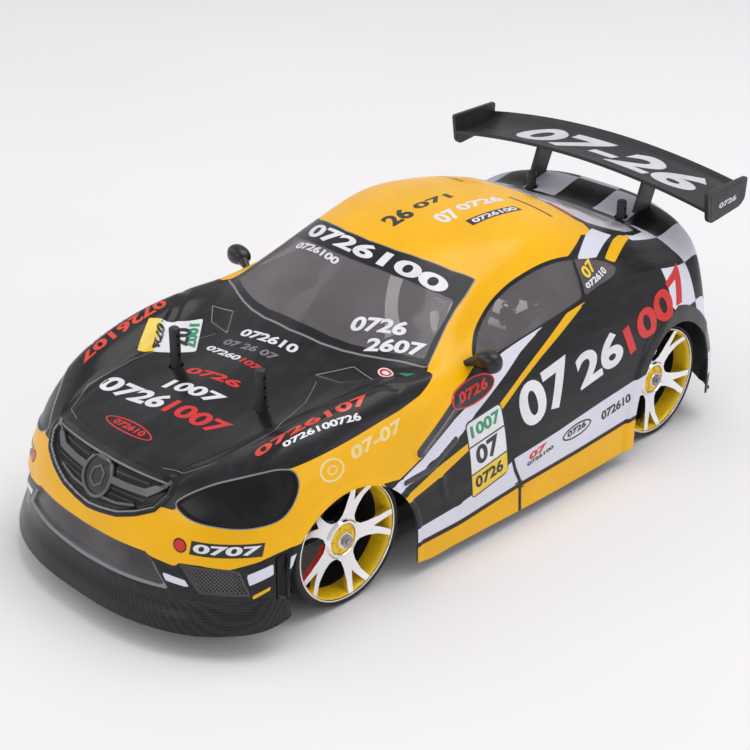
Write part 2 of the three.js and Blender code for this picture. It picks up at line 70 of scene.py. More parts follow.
# ---------------------------------------------------------------- shaders


class Shader:
    """A material under construction: one Principled surface and short calls for the nodes that feed it."""

    def __init__(self, name):
        self.material = bpy.data.materials.new(name)
        self.material.use_nodes = True
        self.tree = self.material.node_tree
        self.tree.nodes.clear()
        self.surface = self.tree.nodes.new("ShaderNodeBsdfPrincipled")
        self.output = self.tree.nodes.new("ShaderNodeOutputMaterial")
        self.tree.links.new(self.surface.outputs[0], self.output.inputs["Surface"])
        self.where = self.tree.nodes.new("ShaderNodeTexCoord").outputs["Object"]

    def feed(self, socket, value):
        """Links another node's output to a socket, or sets the socket's own value."""
        if isinstance(value, bpy.types.NodeSocket):
            self.tree.links.new(value, socket)
        else:
            socket.default_value = value

    def put(self, kind, inputs, **settings):
        """A new node with its inputs fed and its settings set."""
        node = self.tree.nodes.new("ShaderNode" + kind)
        for key, value in settings.items():
            setattr(node, key, value)
        for key, value in inputs.items():
            self.feed(node.inputs[key], value)
        return node

    def set(self, **inputs):
        """Feeds the surface's own sockets, named with underscores for spaces."""
        for key, value in inputs.items():
            self.feed(self.surface.inputs[key.replace("_", " ")], value)

    def math(self, operation, a, b=0.0):
        """One step of arithmetic on one or two values."""
        return self.put("Math", {0: a, 1: b}, operation=operation).outputs[0]

    def clamped(self, value, factor, offset):
        """value times factor plus offset, kept between 0 and 1."""
        inputs = {0: value, 1: factor, 2: offset}
        return self.put("Math", inputs, operation="MULTIPLY_ADD", use_clamp=True).outputs[0]

    def stored(self, name):
        """A number stored on the mesh's points."""
        return self.put("Attribute", {}, attribute_name=name).outputs["Fac"]

    def stretched(self, scale):
        """The place on the object, scaled differently along each axis."""
        return self.put("Mapping", {"Vector": self.where, "Scale": scale}).outputs[0]

    def noise(self, size_mm, detail=3.0, rough=0.55, vector=None):
        """Cloudy noise whose blotches are about a given size."""
        vector = self.where if vector is None else vector
        inputs = {"Vector": vector, "Scale": 1 / (size_mm * MM), "Detail": detail, "Roughness": rough}
        return self.put("TexNoise", inputs).outputs["Fac"]

    def ramp(self, value, low, high, out_low=0.0, out_high=1.0):
        """Maps a range of values to another, clamped at both ends."""
        inputs = {"Value": value, "From Min": low, "From Max": high, "To Min": out_low, "To Max": out_high}
        return self.put("MapRange", inputs).outputs[0]

    def mix(self, share, a, b):
        """Colour a where the share is 0 and colour b where it is 1."""
        node = self.tree.nodes.new("ShaderNodeMix")
        node.data_type = "RGBA"
        sockets = [s for s in node.inputs if s.enabled]
        for socket, value in zip(sockets, (share, a, b)):
            self.feed(socket, value)
        return next(s for s in node.outputs if s.enabled)

    def zone(self, name):
        """1 inside the painted zone whose signed distance is stored on the mesh, and 0 outside."""
        return self.clamped(self.stored(name), 1 / PAINT_EDGE, 0.5)

    def line(self, name):
        """1 on a thin line: its distance, in half widths, is stored with where it may be drawn."""
        inside = self.math("SUBTRACT", 1.0, self.math("ABSOLUTE", self.stored(name)))
        return self.math("MULTIPLY", self.clamped(inside, 3.0, 0.5), self.zone(name + "_near"))

    def bump(self, height, depth_mm, strength=1.0, base=None):
        """A normal that follows a height from 0 to 1, laid over another normal if one is given."""
        inputs = {"Height": height, "Distance": depth_mm * MM, "Strength": strength}
        if base is not None:
            inputs["Normal"] = base
        return self.put("Bump", inputs).outputs[0]


def rgb(red, green, blue):
    """A colour given in display values from 0 to 255."""
    linear = [((v / 255 + 0.055) / 1.055) ** 2.4 if v > 10 else v / 255 / 12.92 for v in (red, green, blue)]
    return (*linear, 1.0)


def shade(colour, factor):
    """A colour made darker or lighter by a factor."""
    return (*[min(1.0, c * factor) for c in colour[:3]], 1.0)


def finish(name, colour, roughness, grain_mm=0.6, grain_depth_mm=0.02, mottle=0.12, mottle_mm=14,
           metallic=0.0, coat=0.0, specular=0.5):
    """A moulded, cast or turned surface: mottled colour, uneven gloss and a fine grain in relief."""
    s = Shader(name)
    blotch = s.noise(mottle_mm, 4.0)
    fine = s.noise(grain_mm, 2.0)
    tone = s.mix(s.ramp(blotch, 0.3, 0.7), shade(colour, 1 - mottle), shade(colour, 1 + mottle))
    s.set(Base_Color=s.mix(s.ramp(fine, 0.35, 0.75, 0.0, 0.25), tone, shade(colour, 0.6)))
    smear = s.noise(mottle_mm * 0.4, 5.0)
    s.set(Roughness=s.ramp(smear, 0.3, 0.7, roughness * 0.8, min(1.0, roughness * 1.25)))
    s.set(Metallic=metallic, Normal=s.bump(fine, grain_depth_mm), Specular_IOR_Level=specular)
    s.set(Coat_Weight=coat, Coat_Roughness=0.04)
    return s.material


YELLOW = rgb(252, 188, 0)
SIDE_YELLOW = rgb(242, 184, 0)
BLACK = rgb(24, 23, 26)
WHITE = rgb(226, 226, 240)
# Grey of the printed pinstripe under the windscreen, and of the painted highlights along moulded edges.
PINSTRIPE_AND_HIGHLIGHT_GREY = rgb(138, 136, 140)
WEAVE_PITCH = 1.1
SLAT_PITCH = 1.5
WIRE_PITCH = 2.0


def smoke_and_highlight_grey(s, cloud):
    """Grey smoked plastic, with thin dark slats in the louvre zone; the same grey is a painted highlight on
    the rear arch flares and the upper scoop.
    """
    smoke_and_highlight = s.mix(s.ramp(cloud, 0.4, 0.6), rgb(62, 59, 62), rgb(88, 85, 88))
    height = s.put("SeparateXYZ", {"Vector": s.where}).outputs["Z"]
    slats = s.math("SINE", s.math("MULTIPLY", height, 2 * math.pi / (SLAT_PITCH * MM)))
    slats = s.math("MULTIPLY", s.ramp(slats, 0.2, 0.8, 0.0, 0.45), s.zone("louvre"))
    return s.mix(slats, smoke_and_highlight, rgb(38, 36, 38))


def paint_shader():
    """The painted shell: one clear gloss over colours whose borders are stored on the mesh."""
    s = Shader("painted_shell")
    cloud = s.noise(45, 3.0)
    speck = s.noise(0.9, 2.0)
    streaks = s.noise(9, 6.0, 0.7, s.stretched((1.0, 0.22, 1.6)))
    lens = s.noise(16, 1.0, 0.4, s.stretched((1.0, 1.6, 0.7)))
    weave = s.put("TexChecker", {"Vector": s.where, "Scale": 1 / (WEAVE_PITCH * MM),
                                 "Color1": rgb(22, 22, 24), "Color2": rgb(46, 46, 49)}).outputs["Color"]
    colour = s.mix(s.ramp(cloud, 0.35, 0.65), YELLOW, shade(YELLOW, 0.9))
    layers = {
        "black": s.mix(s.ramp(streaks, 0.45, 0.75), BLACK, rgb(44, 43, 47)),
        "white": s.mix(s.ramp(cloud, 0.4, 0.7), WHITE, shade(WHITE, 0.93)),
        "gold": SIDE_YELLOW,
        "carbon": weave,
        # Smoked plastic in the intake and vents, and painted grey highlights on the rear arch flares and the
        # upper scoop.
        "smoke_and_highlight": smoke_and_highlight_grey(s, cloud),
        # Near-black deep inside the grille and the bumper slots: painted shade in these recesses.
        "dark": rgb(9, 9, 10),
        "lamp": s.mix(s.ramp(lens, 0.42, 0.56), rgb(4, 4, 5), rgb(19, 18, 20)),
        "tail": s.mix(s.ramp(lens, 0.4, 0.6), rgb(120, 14, 16), rgb(190, 24, 26)),
    }
    for zone, tone in layers.items():
        colour = s.mix(s.zone(zone), colour, tone)
    seam = s.line("seam")
    colour = s.mix(seam, colour, rgb(24, 23, 24))
    # Pale lines: a printed pinstripe under the windscreen, and painted highlights along the moulded edges of
    # the headlamps, screen sides, grille, intake, upper scoop and bonnet.
    colour = s.mix(s.line("pale"), colour, PINSTRIPE_AND_HIGHLIGHT_GREY)
    dust = s.ramp(speck, 0.72, 0.8, 0.0, 0.25)
    s.set(Base_Color=s.mix(dust, colour, rgb(120, 118, 120)))
    s.set(Roughness=s.ramp(s.noise(22, 5.0, 0.65), 0.35, 0.7, 0.24, 0.38), Specular_IOR_Level=0.26)
    peel = s.bump(s.noise(3.5, 2.0), 0.02)
    s.set(Normal=s.bump(s.math("SUBTRACT", 1.0, seam), 0.25, 0.8, peel))
    s.set(Coat_Weight=0.12, Coat_Roughness=0.12)
    return s.material


def window_shader(name, colour, alpha):
    """Smoke-tinted clear plastic: partly see-through, with a haze that varies."""
    s = Shader(name)
    haze = s.noise(60, 3.0)
    s.set(Base_Color=s.mix(s.ramp(haze, 0.3, 0.7), shade(colour, 0.8), shade(colour, 1.15)))
    s.set(Roughness=s.ramp(s.noise(18, 4.0), 0.3, 0.7, 0.05, 0.12))
    s.set(Alpha=s.ramp(haze, 0.3, 0.7, alpha - 0.05, alpha + 0.07))
    s.set(Normal=s.bump(s.noise(30, 2.0), 0.12))
    return s.material


def livery_shader(name, colour):
    """Printed film: an even colour with a thin clear coat."""
    s = Shader(name)
    speck = s.noise(0.8, 2.0)
    s.set(Base_Color=s.mix(s.ramp(s.noise(12, 3.0), 0.3, 0.7), shade(colour, 0.9), shade(colour, 1.06)))
    s.set(Roughness=s.ramp(s.noise(9, 4.0), 0.3, 0.7, 0.26, 0.4), Normal=s.bump(speck, 0.01))
    s.set(Coat_Weight=0.3, Coat_Roughness=0.12)
    return s.material


def mesh_vent_shader():
    """Woven wire: a diamond lattice, light where the wires cross and dark in the holes."""
    s = Shader("mesh_vent")
    parts = s.put("SeparateXYZ", {"Vector": s.where})
    sideways = s.math("ADD", s.math("ABSOLUTE", parts.outputs["X"]), parts.outputs["Y"])
    waves = []
    for sign in (1.0, -1.0):
        lean = s.math("ADD", s.math("MULTIPLY", sideways, 0.7), s.math("MULTIPLY", parts.outputs["Z"], sign))
        turns = s.math("MULTIPLY", lean, math.pi / (WIRE_PITCH * MM))
        waves.append(s.math("ABSOLUTE", s.math("SINE", turns)))
    wire = s.math("MINIMUM", waves[0], waves[1])
    s.set(Base_Color=s.mix(s.ramp(wire, 0.3, 0.55), rgb(104, 100, 102), rgb(12, 12, 13)))
    s.set(Roughness=s.ramp(wire, 0.0, 1.0, 0.35, 0.7), Normal=s.bump(wire, -0.4))
    return s.material


# ---------------------------------------------------------------- meshes


def link_mesh(name, points_mm, faces, materials, body, material_index):
    """A mesh object from points in millimetres, riding on a body (if given), with its materials and a
    material number for each face.
    """
    mesh = bpy.data.meshes.new(name)
    mesh.from_pydata([tuple(p) for p in np.asarray(points_mm, float) * MM], [], [tuple(f) for f in faces])
    for material in materials:
        mesh.materials.append(material)
    mesh.polygons.foreach_set("material_index", np.asarray(material_index, np.int32))
    mesh.shade_smooth()
    mesh.update()
    piece = bpy.data.objects.new(name, mesh)
    bpy.context.scene.collection.objects.link(piece)
    if body is not None:
        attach(piece, body)
    return piece


def outward_normals(piece):
    """Turns every closed part's faces outwards."""
    mesh = bmesh.new()
    mesh.from_mesh(piece.data)
    bmesh.ops.recalc_face_normals(mesh, faces=mesh.faces)
    mesh.to_mesh(piece.data)
    mesh.free()
    return piece


def sharpen(piece, degrees):
    """Keeps edges that turn by more than an angle crisp in the smooth shading."""
    piece.data.set_sharp_from_angle(angle=math.radians(degrees))


def soften_edges(piece, width_mm, degrees=35):
    """Rounds the crisp edges of a piece."""
    bevel = piece.modifiers.new("rounding", "BEVEL")
    bevel.width = width_mm * MM
    bevel.segments = 2
    bevel.limit_method = "ANGLE"
    bevel.angle_limit = math.radians(degrees)
    bevel.harden_normals = True
    sharpen(piece, 60)


class Parts:
    """Collects simple solids, each with a material number, that together make one piece."""

    def __init__(self):
        self.points, self.faces, self.index = [], [], []

    def add(self, points, faces, material=0):
        """Adds one solid."""
        start = len(self.points)
        self.points.extend(tuple(p) for p in points)
        self.faces.extend(tuple(start + k for k in face) for face in faces)
        self.index.extend([material] * len(faces))
        return self

    def moved(self, move):
        """Moves every point added so far."""
        self.points = [tuple(p) for p in move(np.array(self.points, float))]
        return self

    def piece(self, name, materials, body, slot):
        """The collected solids as one mesh object, with its faces turned outwards."""
        return outward_normals(link_mesh(name, self.points, self.faces, materials, body, self.index))


def slab(outline, axis, low, high):
    """A prism: an outline in the plane across an axis ('x': y, z; 'y': x, z; 'z': x, y)."""
    order = {"x": (2, 0, 1), "y": (0, 2, 1), "z": (0, 1, 2)}[axis]
    count = len(outline)
    points = [[(a, b, level)[k] for k in order] for level in (low, high) for a, b in outline]
    faces = [tuple(range(count))[::-1], tuple(range(count, 2 * count))]
    faces += [(k, (k + 1) % count, count + (k + 1) % count, count + k) for k in range(count)]
    return points, faces


def turned(profile, steps, centre=(0, 0, 0), axis="x", closed=True):
    """A profile of (radius, distance along the axis) turned around an axis."""
    points, faces, count = [], [], len(profile)
    for i in range(steps):
        angle = 2 * math.pi * i / steps
        for radius, along in profile:
            u, v = radius * math.cos(angle), radius * math.sin(angle)
            spot = {"x": (along, u, v), "y": (v, along, u), "z": (u, v, along)}[axis]
            points.append([c + p for c, p in zip(centre, spot)])
    spans = count if closed else count - 1
    for i in range(steps):
        for k in range(spans):
            a, b = i * count + k, i * count + (k + 1) % count
            c, d = ((i + 1) % steps) * count + (k + 1) % count, ((i + 1) % steps) * count + k
            faces.append((a, d, c, b))
    return points, faces


def capped(profile, steps, centre=(0, 0, 0), axis="x"):
    """A turned solid whose profile starts and ends on the axis, closed with two end faces."""
    points, faces = turned(profile, steps, centre, axis, closed=False)
    count = len(profile)
    faces.append(tuple(i * count for i in range(steps)))
    faces.append(tuple(i * count + count - 1 for i in range(steps))[::-1])
    return points, faces


def tube(path, radius, sides=10):
    """A round bar that follows a path of points; radius may be one number or one for each point."""
    path = np.asarray(path, float)
    radii = np.broadcast_to(np.asarray(radius, float), len(path))
    points, faces = [], []
    along = np.gradient(path, axis=0)
    along /= np.linalg.norm(along, axis=1, keepdims=True)
    side = np.cross(along[0], (0.3, 0.2, 1.0))
    for spot, heading, size in zip(path, along, radii):
        side = side - heading * (side @ heading)
        side /= np.linalg.norm(side)
        other = np.cross(heading, side)
        for k in range(sides):
            angle = 2 * math.pi * k / sides
            points.append(spot + size * (math.cos(angle) * side + math.sin(angle) * other))
    for i in range(len(path) - 1):
        for k in range(sides):
            a, b = i * sides + k, i * sides + (k + 1) % sides
            faces.append((a, b, b + sides, a + sides))
    faces.append(tuple(range(sides))[::-1])
    faces.append(tuple(range((len(path) - 1) * sides, len(path) * sides)))
    return points, faces


def rails_through(points, steps):
    """Smooth centripetal curves through rows of points, (row, curve, 3), with steps[i] steps in span i."""
    ends = np.concatenate([2 * points[:1] - points[1:2], points, 2 * points[-1:] - points[-2:-1]])
    gaps = np.sqrt(np.maximum(np.linalg.norm(np.diff(ends, axis=0), axis=2, keepdims=True), 1e-4))
    rows = []
    for i, count in enumerate(steps):
        p0, p1, p2, p3 = ends[i:i + 4]
        d0, d1, d2 = gaps[i:i + 3]
        leave = ((p1 - p0) / d0 - (p2 - p0) / (d0 + d1) + (p2 - p1) / d1) * d1
        arrive = ((p2 - p1) / d1 - (p3 - p1) / (d1 + d2) + (p3 - p2) / d2) * d1
        for k in range(count):
            t = k / count
            rows.append((2 * t**3 - 3 * t**2 + 1) * p1 + (t**3 - 2 * t**2 + t) * leave
                        + (3 * t**2 - 2 * t**3) * p2 + (t**3 - t**2) * arrive)
    rows.append(points[-1])
    return np.array(rows)


def curve_through(points, steps=6, closed=False):
    """A smooth 2-D outline through a few points."""
    rows = np.array(points, float)[:, None, :]
    rows = np.concatenate([rows, np.zeros((len(rows), 1, 1))], axis=2)
    if closed:
        rows = np.concatenate([rows[-1:], rows, rows[:2]])
    smooth = rails_through(rows, [steps] * (len(rows) - 1))[:, 0, :2]
    return smooth[steps:-steps - 1] if closed else smooth


# ---------------------------------------------------------------- distances that mark zones


def inside_distance(points, outline):
    """Distance from each 2-D point to a closed outline, positive inside it."""
    outline = np.asarray(outline, float)
    best = np.full(len(points), np.inf)
    inside = np.zeros(len(points), bool)
    for a, b in zip(outline, np.roll(outline, -1, axis=0)):
        edge, offset = b - a, points - a
        share = np.clip(offset @ edge / max(edge @ edge, 1e-9), 0, 1)
        best = np.minimum(best, np.linalg.norm(offset - share[:, None] * edge, axis=1))
        if a[1] != b[1]:
            spans = (a[1] > points[:, 1]) != (b[1] > points[:, 1])
            inside ^= spans & (points[:, 0] < a[0] + offset[:, 1] / edge[1] * edge[0])
    return np.where(inside, best, -best)


def across_line(points, path):
    """Distance from each 2-D point to an open path, positive on one side of it and negative on the other."""
    best, sign = np.full(len(points), np.inf), np.ones(len(points))
    path = np.asarray(path, float)
    for a, b in zip(path[:-1], path[1:]):
        edge, offset = b - a, points - a
        share = np.clip(offset @ edge / max(edge @ edge, 1e-9), 0, 1)
        distance = np.linalg.norm(offset - share[:, None] * edge, axis=1)
        nearer = distance < best
        best = np.where(nearer, distance, best)
        sign = np.where(nearer, np.where(edge[0] * offset[:, 1] > edge[1] * offset[:, 0], 1, -1), sign)
    return best * sign


def line_distance(points, path):
    """Distance from each 2-D point to an open path."""
    return np.abs(across_line(points, path))


LINE_REACH = 2.6       # how far around its middle a thin line may be drawn


def nearest_line(lines):
    """Of several thin lines, (signed distance, half width, limit), the one to draw near each point.

    Gives its distance in half widths, and how far inside the line's own neighbourhood the point is."""
    count = len(lines[0][0])
    chosen, near = np.full(count, 9.0), np.full(count, -9.0)
    for distance, half_width, limit in lines:
        here = np.minimum(LINE_REACH - np.abs(distance), limit)
        chosen = np.where(here > near, distance / half_width, chosen)
        near = np.maximum(near, here)
    return chosen, near


def within(points, outline, *limits):
    """Distance inside an outline and inside the given limits as well."""
    return np.min([inside_distance(points, outline), *limits], 0)


def smooth_step(field, width):
    """Rises smoothly from 0 to 1 over a width, with its middle where the field is 0."""
    t = np.clip(field / width + 0.5, 0, 1)
    return t * t * (3 - 2 * t)


def both_sides(half):
    """An outline drawn on one side of the middle plane, joined to its mirror image."""
    return half + [(-x, other) for x, other in reversed(half)]


DIAGONAL = math.sqrt(0.5)


class Views:
    """The skin's points as seen from four sides, with both halves of the car folded together."""

    def __init__(self, base):
        x, y, z = np.abs(base[:, 0]), base[:, 1], base[:, 2]
        self.x, self.y, self.z, self.girth = x, y, z, base[:, 3]
        self.front = np.stack([x, z], 1)
        self.top = np.stack([x, y], 1)
        self.side = np.stack([y, z], 1)
        self.corner = np.stack([(x + y) * DIAGONAL, z], 1)


# ---------------------------------------------------------------- the shell's surface

# Stations from nose to tail; each is eight points from the middle plane down to the sill.
STATIONS = np.array([
    # splitter edge and the hollow above it
    [(0, -212, 13), (34, -210, 13), (58, -203.5, 13), (76, -194, 13),
     (90, -182, 14), (98, -171, 15), (101.5, -161, 17), (101.5, -152, 19)],
    [(0, -210, 19), (34, -208, 19), (57, -201.5, 19), (75, -192, 19),
     (88.5, -180, 21), (96.5, -169, 23), (100, -159, 22), (100.5, -150, 19)],
    [(0, -206.5, 27), (33, -204.5, 27), (56, -198, 27), (74, -188.5, 27),
     (87, -177, 28), (95.5, -165, 29), (99.5, -155, 26), (100, -148, 19)],
    # bumper
    [(0, -203.5, 42), (32, -202, 42), (56, -196, 42), (74, -187, 42),
     (86.5, -175, 42), (95, -161, 41), (99.5, -149, 34), (100, -142, 19)],
    [(0, -199.5, 57), (32, -198, 57), (56, -192, 57), (73, -183, 58),
     (86, -169, 58), (94.5, -154, 55), (99.5, -141, 43), (100, -134, 19)],
    [(0, -193.5, 73), (31, -191, 73), (54, -185, 73.5), (72, -175, 74),
     (85, -162, 74), (94, -146, 70), (99.5, -131, 50), (100, -124, 19)],
    # bonnet and front wings
    [(0, -185, 83), (30, -182.5, 83), (52, -176, 84), (70, -164, 86),
     (82.5, -152, 87), (93, -136, 81), (99.5, -121, 56), (100, -114, 19)],
    [(0, -160, 89), (30, -158, 88), (54, -152, 90), (70, -143, 96),
     (80, -134, 98.5), (91.5, -121, 91), (99, -110, 62), (100, -106, 19)],
    [(0, -118, 95), (34, -116, 92.5), (58, -110, 96), (73, -103, 104),
     (82, -99, 106), (92.5, -93, 96), (99.5, -88, 66), (100.5, -86, 19)],
    [(0, -84, 101.5), (36, -81, 99), (64, -74, 101.5), (76, -68, 107),
     (84, -65, 107.5), (93.5, -62, 98), (100.5, -61, 66), (101.5, -61, 8)],
    # windscreen
    [(0, -66, 107), (38, -60, 106), (66, -49, 106), (78.5, -38, 106.5),
     (86, -36, 106), (93.5, -35, 99), (101, -35, 66), (102.5, -35, 8)],
    [(0, -35, 125.5), (34, -30, 124), (58, -20, 121), (70.5, -10, 120),
     (78, -6, 113.5), (90.5, -4, 102), (101.5, -4, 66), (103, -4, 8)],
    [(0, -3, 143.5), (33, 2, 142), (55, 12, 137.5), (63.5, 18, 133.5),
     (74, 20, 121), (90, 20, 103), (102, 20, 66), (103.5, 20, 8)],
    # roof
    [(0, 52, 153), (32, 53, 151.5), (53, 54, 147), (62, 55, 142.5),
     (75, 55, 128), (89.5, 56, 108.5), (102, 56, 68), (103.5, 56, 8)],
    [(0, 104, 147.5), (30, 104, 146), (51, 105, 141), (60.5, 106, 136),
     (75, 106, 123), (89, 104, 112.5), (102.5, 102, 70), (103.5, 102, 9)],
    # rear window and boot
    [(0, 140, 134), (28, 140, 133), (50, 141, 128.5), (61, 142, 123.5),
     (74, 141, 117.5), (89, 138, 109), (102.5, 134, 72), (103.5, 132, 12)],
    [(0, 173, 119.5), (28, 173, 119), (50, 174, 117.5), (64, 175, 115.5),
     (77, 174, 111), (90, 167, 103.5), (102.5, 162, 70), (103.5, 159, 14)],
    [(0, 207, 124), (28, 206, 123.5), (50, 203, 120.5), (66, 199, 116.5),
     (79, 194, 110.5), (89.5, 188, 99), (100.5, 182, 67), (102.5, 176, 15)],
    # tail
    [(0, 214.5, 100), (28, 213.5, 99.5), (52, 210, 98), (68, 204.5, 95),
     (80, 199, 89), (90, 192.5, 80), (99.5, 187, 56), (101.5, 183, 16)],
    [(0, 220.5, 66), (29, 219.5, 66), (54, 216, 65), (70, 211.5, 63),
     (82, 206.5, 58), (91, 200.5, 50), (97.5, 196, 36), (99.5, 192, 17)],
    [(0, 218, 20), (29, 217, 20), (54, 214, 20), (69, 210, 20),
     (80, 205.5, 20), (89.5, 200, 20), (95, 197, 19), (98, 195, 18)],
], float)

shell_low, _ = box_mm("body_shell")
NOSE_SHIFT = shell_low[1] - STATIONS[:, :, 1].min()    # puts the drawn nose where the CAD's nose is
STATIONS[:, :, 1] += NOSE_SHIFT

NOSE_STEP = 1.1        # spacing of the skin's points along the car as far as the windscreen
BODY_STEP = 2.0        # and behind it
GIRTH_STEP = 1.6       # spacing around the car
NOSE_SPANS = 9
SKIN_THICK = 1.0


def span_steps(rows, spacing):
    """How many steps each span between two rows of points needs."""
    lengths = np.linalg.norm(np.diff(rows, axis=0), axis=2).max(axis=1)
    return [max(2, math.ceil(length / step)) for length, step in zip(lengths, spacing)]


def skin_grid():
    """Points of the outer skin, (across, along, 4): x, y, z and the distance around from the middle."""
    spacing = [NOSE_STEP] * NOSE_SPANS + [BODY_STEP] * (len(STATIONS) - 1 - NOSE_SPANS)
    along = rails_through(STATIONS, span_steps(STATIONS, spacing))
    across = np.swapaxes(along, 0, 1)
    steps = span_steps(across[:, ::12], [GIRTH_STEP] * (len(across) - 1))
    mirrored = across[1:2] * (-1, 1, 1)
    half = rails_through(np.concatenate([mirrored, across]), [1] + steps)[1:]
    girth = np.concatenate([np.zeros((1, half.shape[1])),
                            np.linalg.norm(np.diff(half, axis=0), axis=2).cumsum(axis=0)])
    half = np.concatenate([half, girth[:, :, None]], axis=2)
    return np.concatenate([half[:0:-1] * (-1, 1, 1, 1), half])


def grid_normals(grid):
    """Unit normals of a grid of points, pointing out of the car."""
    along = np.gradient(grid[:, :, :3], axis=1)
    across = np.gradient(grid[:, :, :3], axis=0)
    normal = np.cross(across, along)
    return normal / np.linalg.norm(normal, axis=2, keepdims=True)


# ---- outlines on the skin, in the view that shows each best

GRILLE = both_sides([(0, 58.5), (9, 59.5), (22, 61.8), (34, 66), (43.5, 70.6), (47.6, 77),
                     (46.6, 81.6), (0, 82.2)])
BADGE = (0, 71.3)
HEADLIGHT = curve_through([
    (-95.4, 74.5), (-91, 78.2), (-79, 83.4), (-64, 87.2), (-54.5, 89.2), (-45.5, 90), (-38.5, 88.4),
    (-36, 83), (-38, 75.5), (-44, 69), (-57, 66.6), (-75, 67.6), (-90, 70.2),
], 5, closed=True)
BONNET = both_sides([(0, -215), (54.3, -215), (54.3, -188), (56.3, -185), (64, -175.6), (73.5, -164.6),
                     (79.6, -156.6), (84.6, -148.4), (86.5, -142), (86.5, -50), (80.4, -41), (0, -20)])
WING_TOP = [(-148, 90.2), (-143.2, 89.9), (-127.4, 92), (-108.7, 94.3), (-88.5, 97), (-74.3, 98.5),
            (-58.9, 101.1), (-44, 105.6), (-44, 130), (-148, 130)]
SCREEN = both_sides([(0, -66.8), (23, -65), (37, -62), (48.4, -58.2), (60, -53), (70, -47.6), (80.4, -42.6),
                     (76.2, -33), (73, -24.5), (70, -16.2), (67.4, -7.3), (65.4, 3.2), (62.6, 13.4),
                     (52, 6), (36, 0), (20, -4), (0, -5.6)])
SCREEN_GLASS = both_sides([(0, -60), (24, -58.6), (38, -55.8), (48, -52.4), (61, -46.6), (75, -38.4),
                           (71, -29), (67.5, -15), (63.6, -4.2), (47, -11.6), (30, -16.6), (12, -19.4),
                           (0, -20)])
SIDE_GLASS = curve_through([
    (-13, 104.4), (-5.8, 110.6), (10.5, 119.4), (23.2, 124.6), (36, 128.6), (52.2, 131), (68, 130.6),
    (86.2, 127.6), (100, 124), (112.4, 118.2), (105, 115.9), (92, 114.9), (72.7, 112.4), (56.3, 110),
    (42.1, 108.2), (25.7, 105.9), (9.1, 104), (-8, 102.6),
], 4, closed=True)
PILLAR_LINE = ((83.5, 127), (75.4, 113))
REAR_GLASS = both_sides([(0, 116.5), (34, 116.5), (46, 117.5), (51, 122), (57, 152), (55, 163), (42, 167),
                         (0, 168.5)])
REAR_FRAME = both_sides([(0, 111), (36, 111), (50, 112.5), (56, 120), (61, 154), (58, 167), (43, 170.5),
                         (0, 172)])
SIDE_BLACK = [(-93, 66.2), (-81.5, 64), (-69, 68.8), (-62.9, 73), (-37.9, 90), (-33, 96), (-14, 103.6),
              (20, 118), (72, 128.5), (111, 136), (112, 160), (235, 160), (235, 50), (116, 53.5), (112, 31),
              (60, 28), (10, 26.4), (-37, 21.6), (-74, 20.8), (-80, 45)]
WHITE_SWEEP = [(5.3, 102.4), (-8.5, 96.9), (-26.7, 86.7), (-39.3, 82.4), (-60.8, 71.8), (-64.1, 69.6),
               (-79.4, 63.4), (-90, 60.4), (-84, 55), (-71.1, 60.4), (-60, 65.6), (-48.7, 68.4),
               (-35.6, 72.6), (-23.3, 80.2), (-10.9, 85.6), (3.1, 91.7), (18.3, 99.1), (40, 107)]
GOLD_SWEEP = [(76, 110.4), (59.1, 108.4), (34.1, 97), (14.8, 88.4), (-4.1, 79.2), (-31.5, 66),
              (-55.2, 60.5), (-80, 51.4), (-77.4, 47.6), (-52.6, 54.4), (-30.4, 62.2), (-0.2, 77.1),
              (12.6, 83.9), (31.4, 92.2), (50.2, 99.7)]
WHITE_BAND = [(-74, 29.2), (-41.9, 31.6), (-12, 36.5), (5, 43.6), (41.9, 46.9), (76.6, 51.4), (132, 57.4),
              (132, 33), (78.7, 29.4), (43.4, 27.2), (9.4, 26.2), (-37.8, 21.9), (-74, 21)]
PILLAR_WHITE = [(73, 87), (73.6, 104), (60, 134.5), (56.6, 120), (62, 108)]
PILLAR_GOLD = [(75, 110), (78.5, 115), (67, 139), (61.2, 152), (60, 141), (64, 131)]
BUMPER_WHITES = [[(-103.1, 41.9), (-91.4, 40.2), (-89, 36.4), (-101.2, 37.8)],
                 [(-61, 43.8), (-48.2, 47.4), (-48.2, 42), (-59.8, 38.2)],
                 [(-40.2, 48.8), (-35.6, 50.4), (-37.4, 46.4), (-40.8, 42.8)]]
BUMPER_GOLD = [(-58.6, 32.6), (-49.8, 36.2), (-49.8, 34.6), (-58.2, 30.8)]
INTAKE = both_sides([(0, 48.2), (30, 49), (44, 49.4), (48.5, 46.6), (58, 33.6), (30, 32.6), (0, 31.6)])
VENT = [(-94.6, 48.3), (-69.2, 47.2), (-64.3, 45.6), (-59.2, 32.6), (-84.4, 33.6)]
SLOT = [(-47.6, 50.6), (-40.6, 53), (-41.2, 27), (-47.4, 28.6)]
PLATE = [(-31.9, 76.4), (-4.8, 79), (-1.4, 38.2), (-28.2, 32.3)]
CREASE = curve_through([(44, -190), (52, -166), (56, -145), (58.5, -125), (62, -106), (70, -90),
                        (84, -70)], 4)
HOOD_LINE = [(0, -186), (30, -184), (47, -178), (56, -160), (57, -128), (50, -100), (40, -82)]
HOOD_VENT = [(36, -80), (53, -77), (65, -66), (49, -64.6)]
DOOR_LINE = [(3.4, 52), (2.8, 43), (5, 36), (9.5, 27), (10.5, 4)]
ROOF_SLOT = [(10, 89), (18.5, 90), (46.5, 95), (54, 97)]
MESH = [(-88.7, 47.2), (-69.4, 46.2), (-64.8, 44.6), (-60.6, 33.4), (-84.6, 35.2)]
SILL_LINE = [(-74, 19.6), (-37, 20.4), (10, 25), (60, 26.8), (132, 31.6)]
SCOOP_HIGH = [(-66.5, 74), (-38, 90.5)]
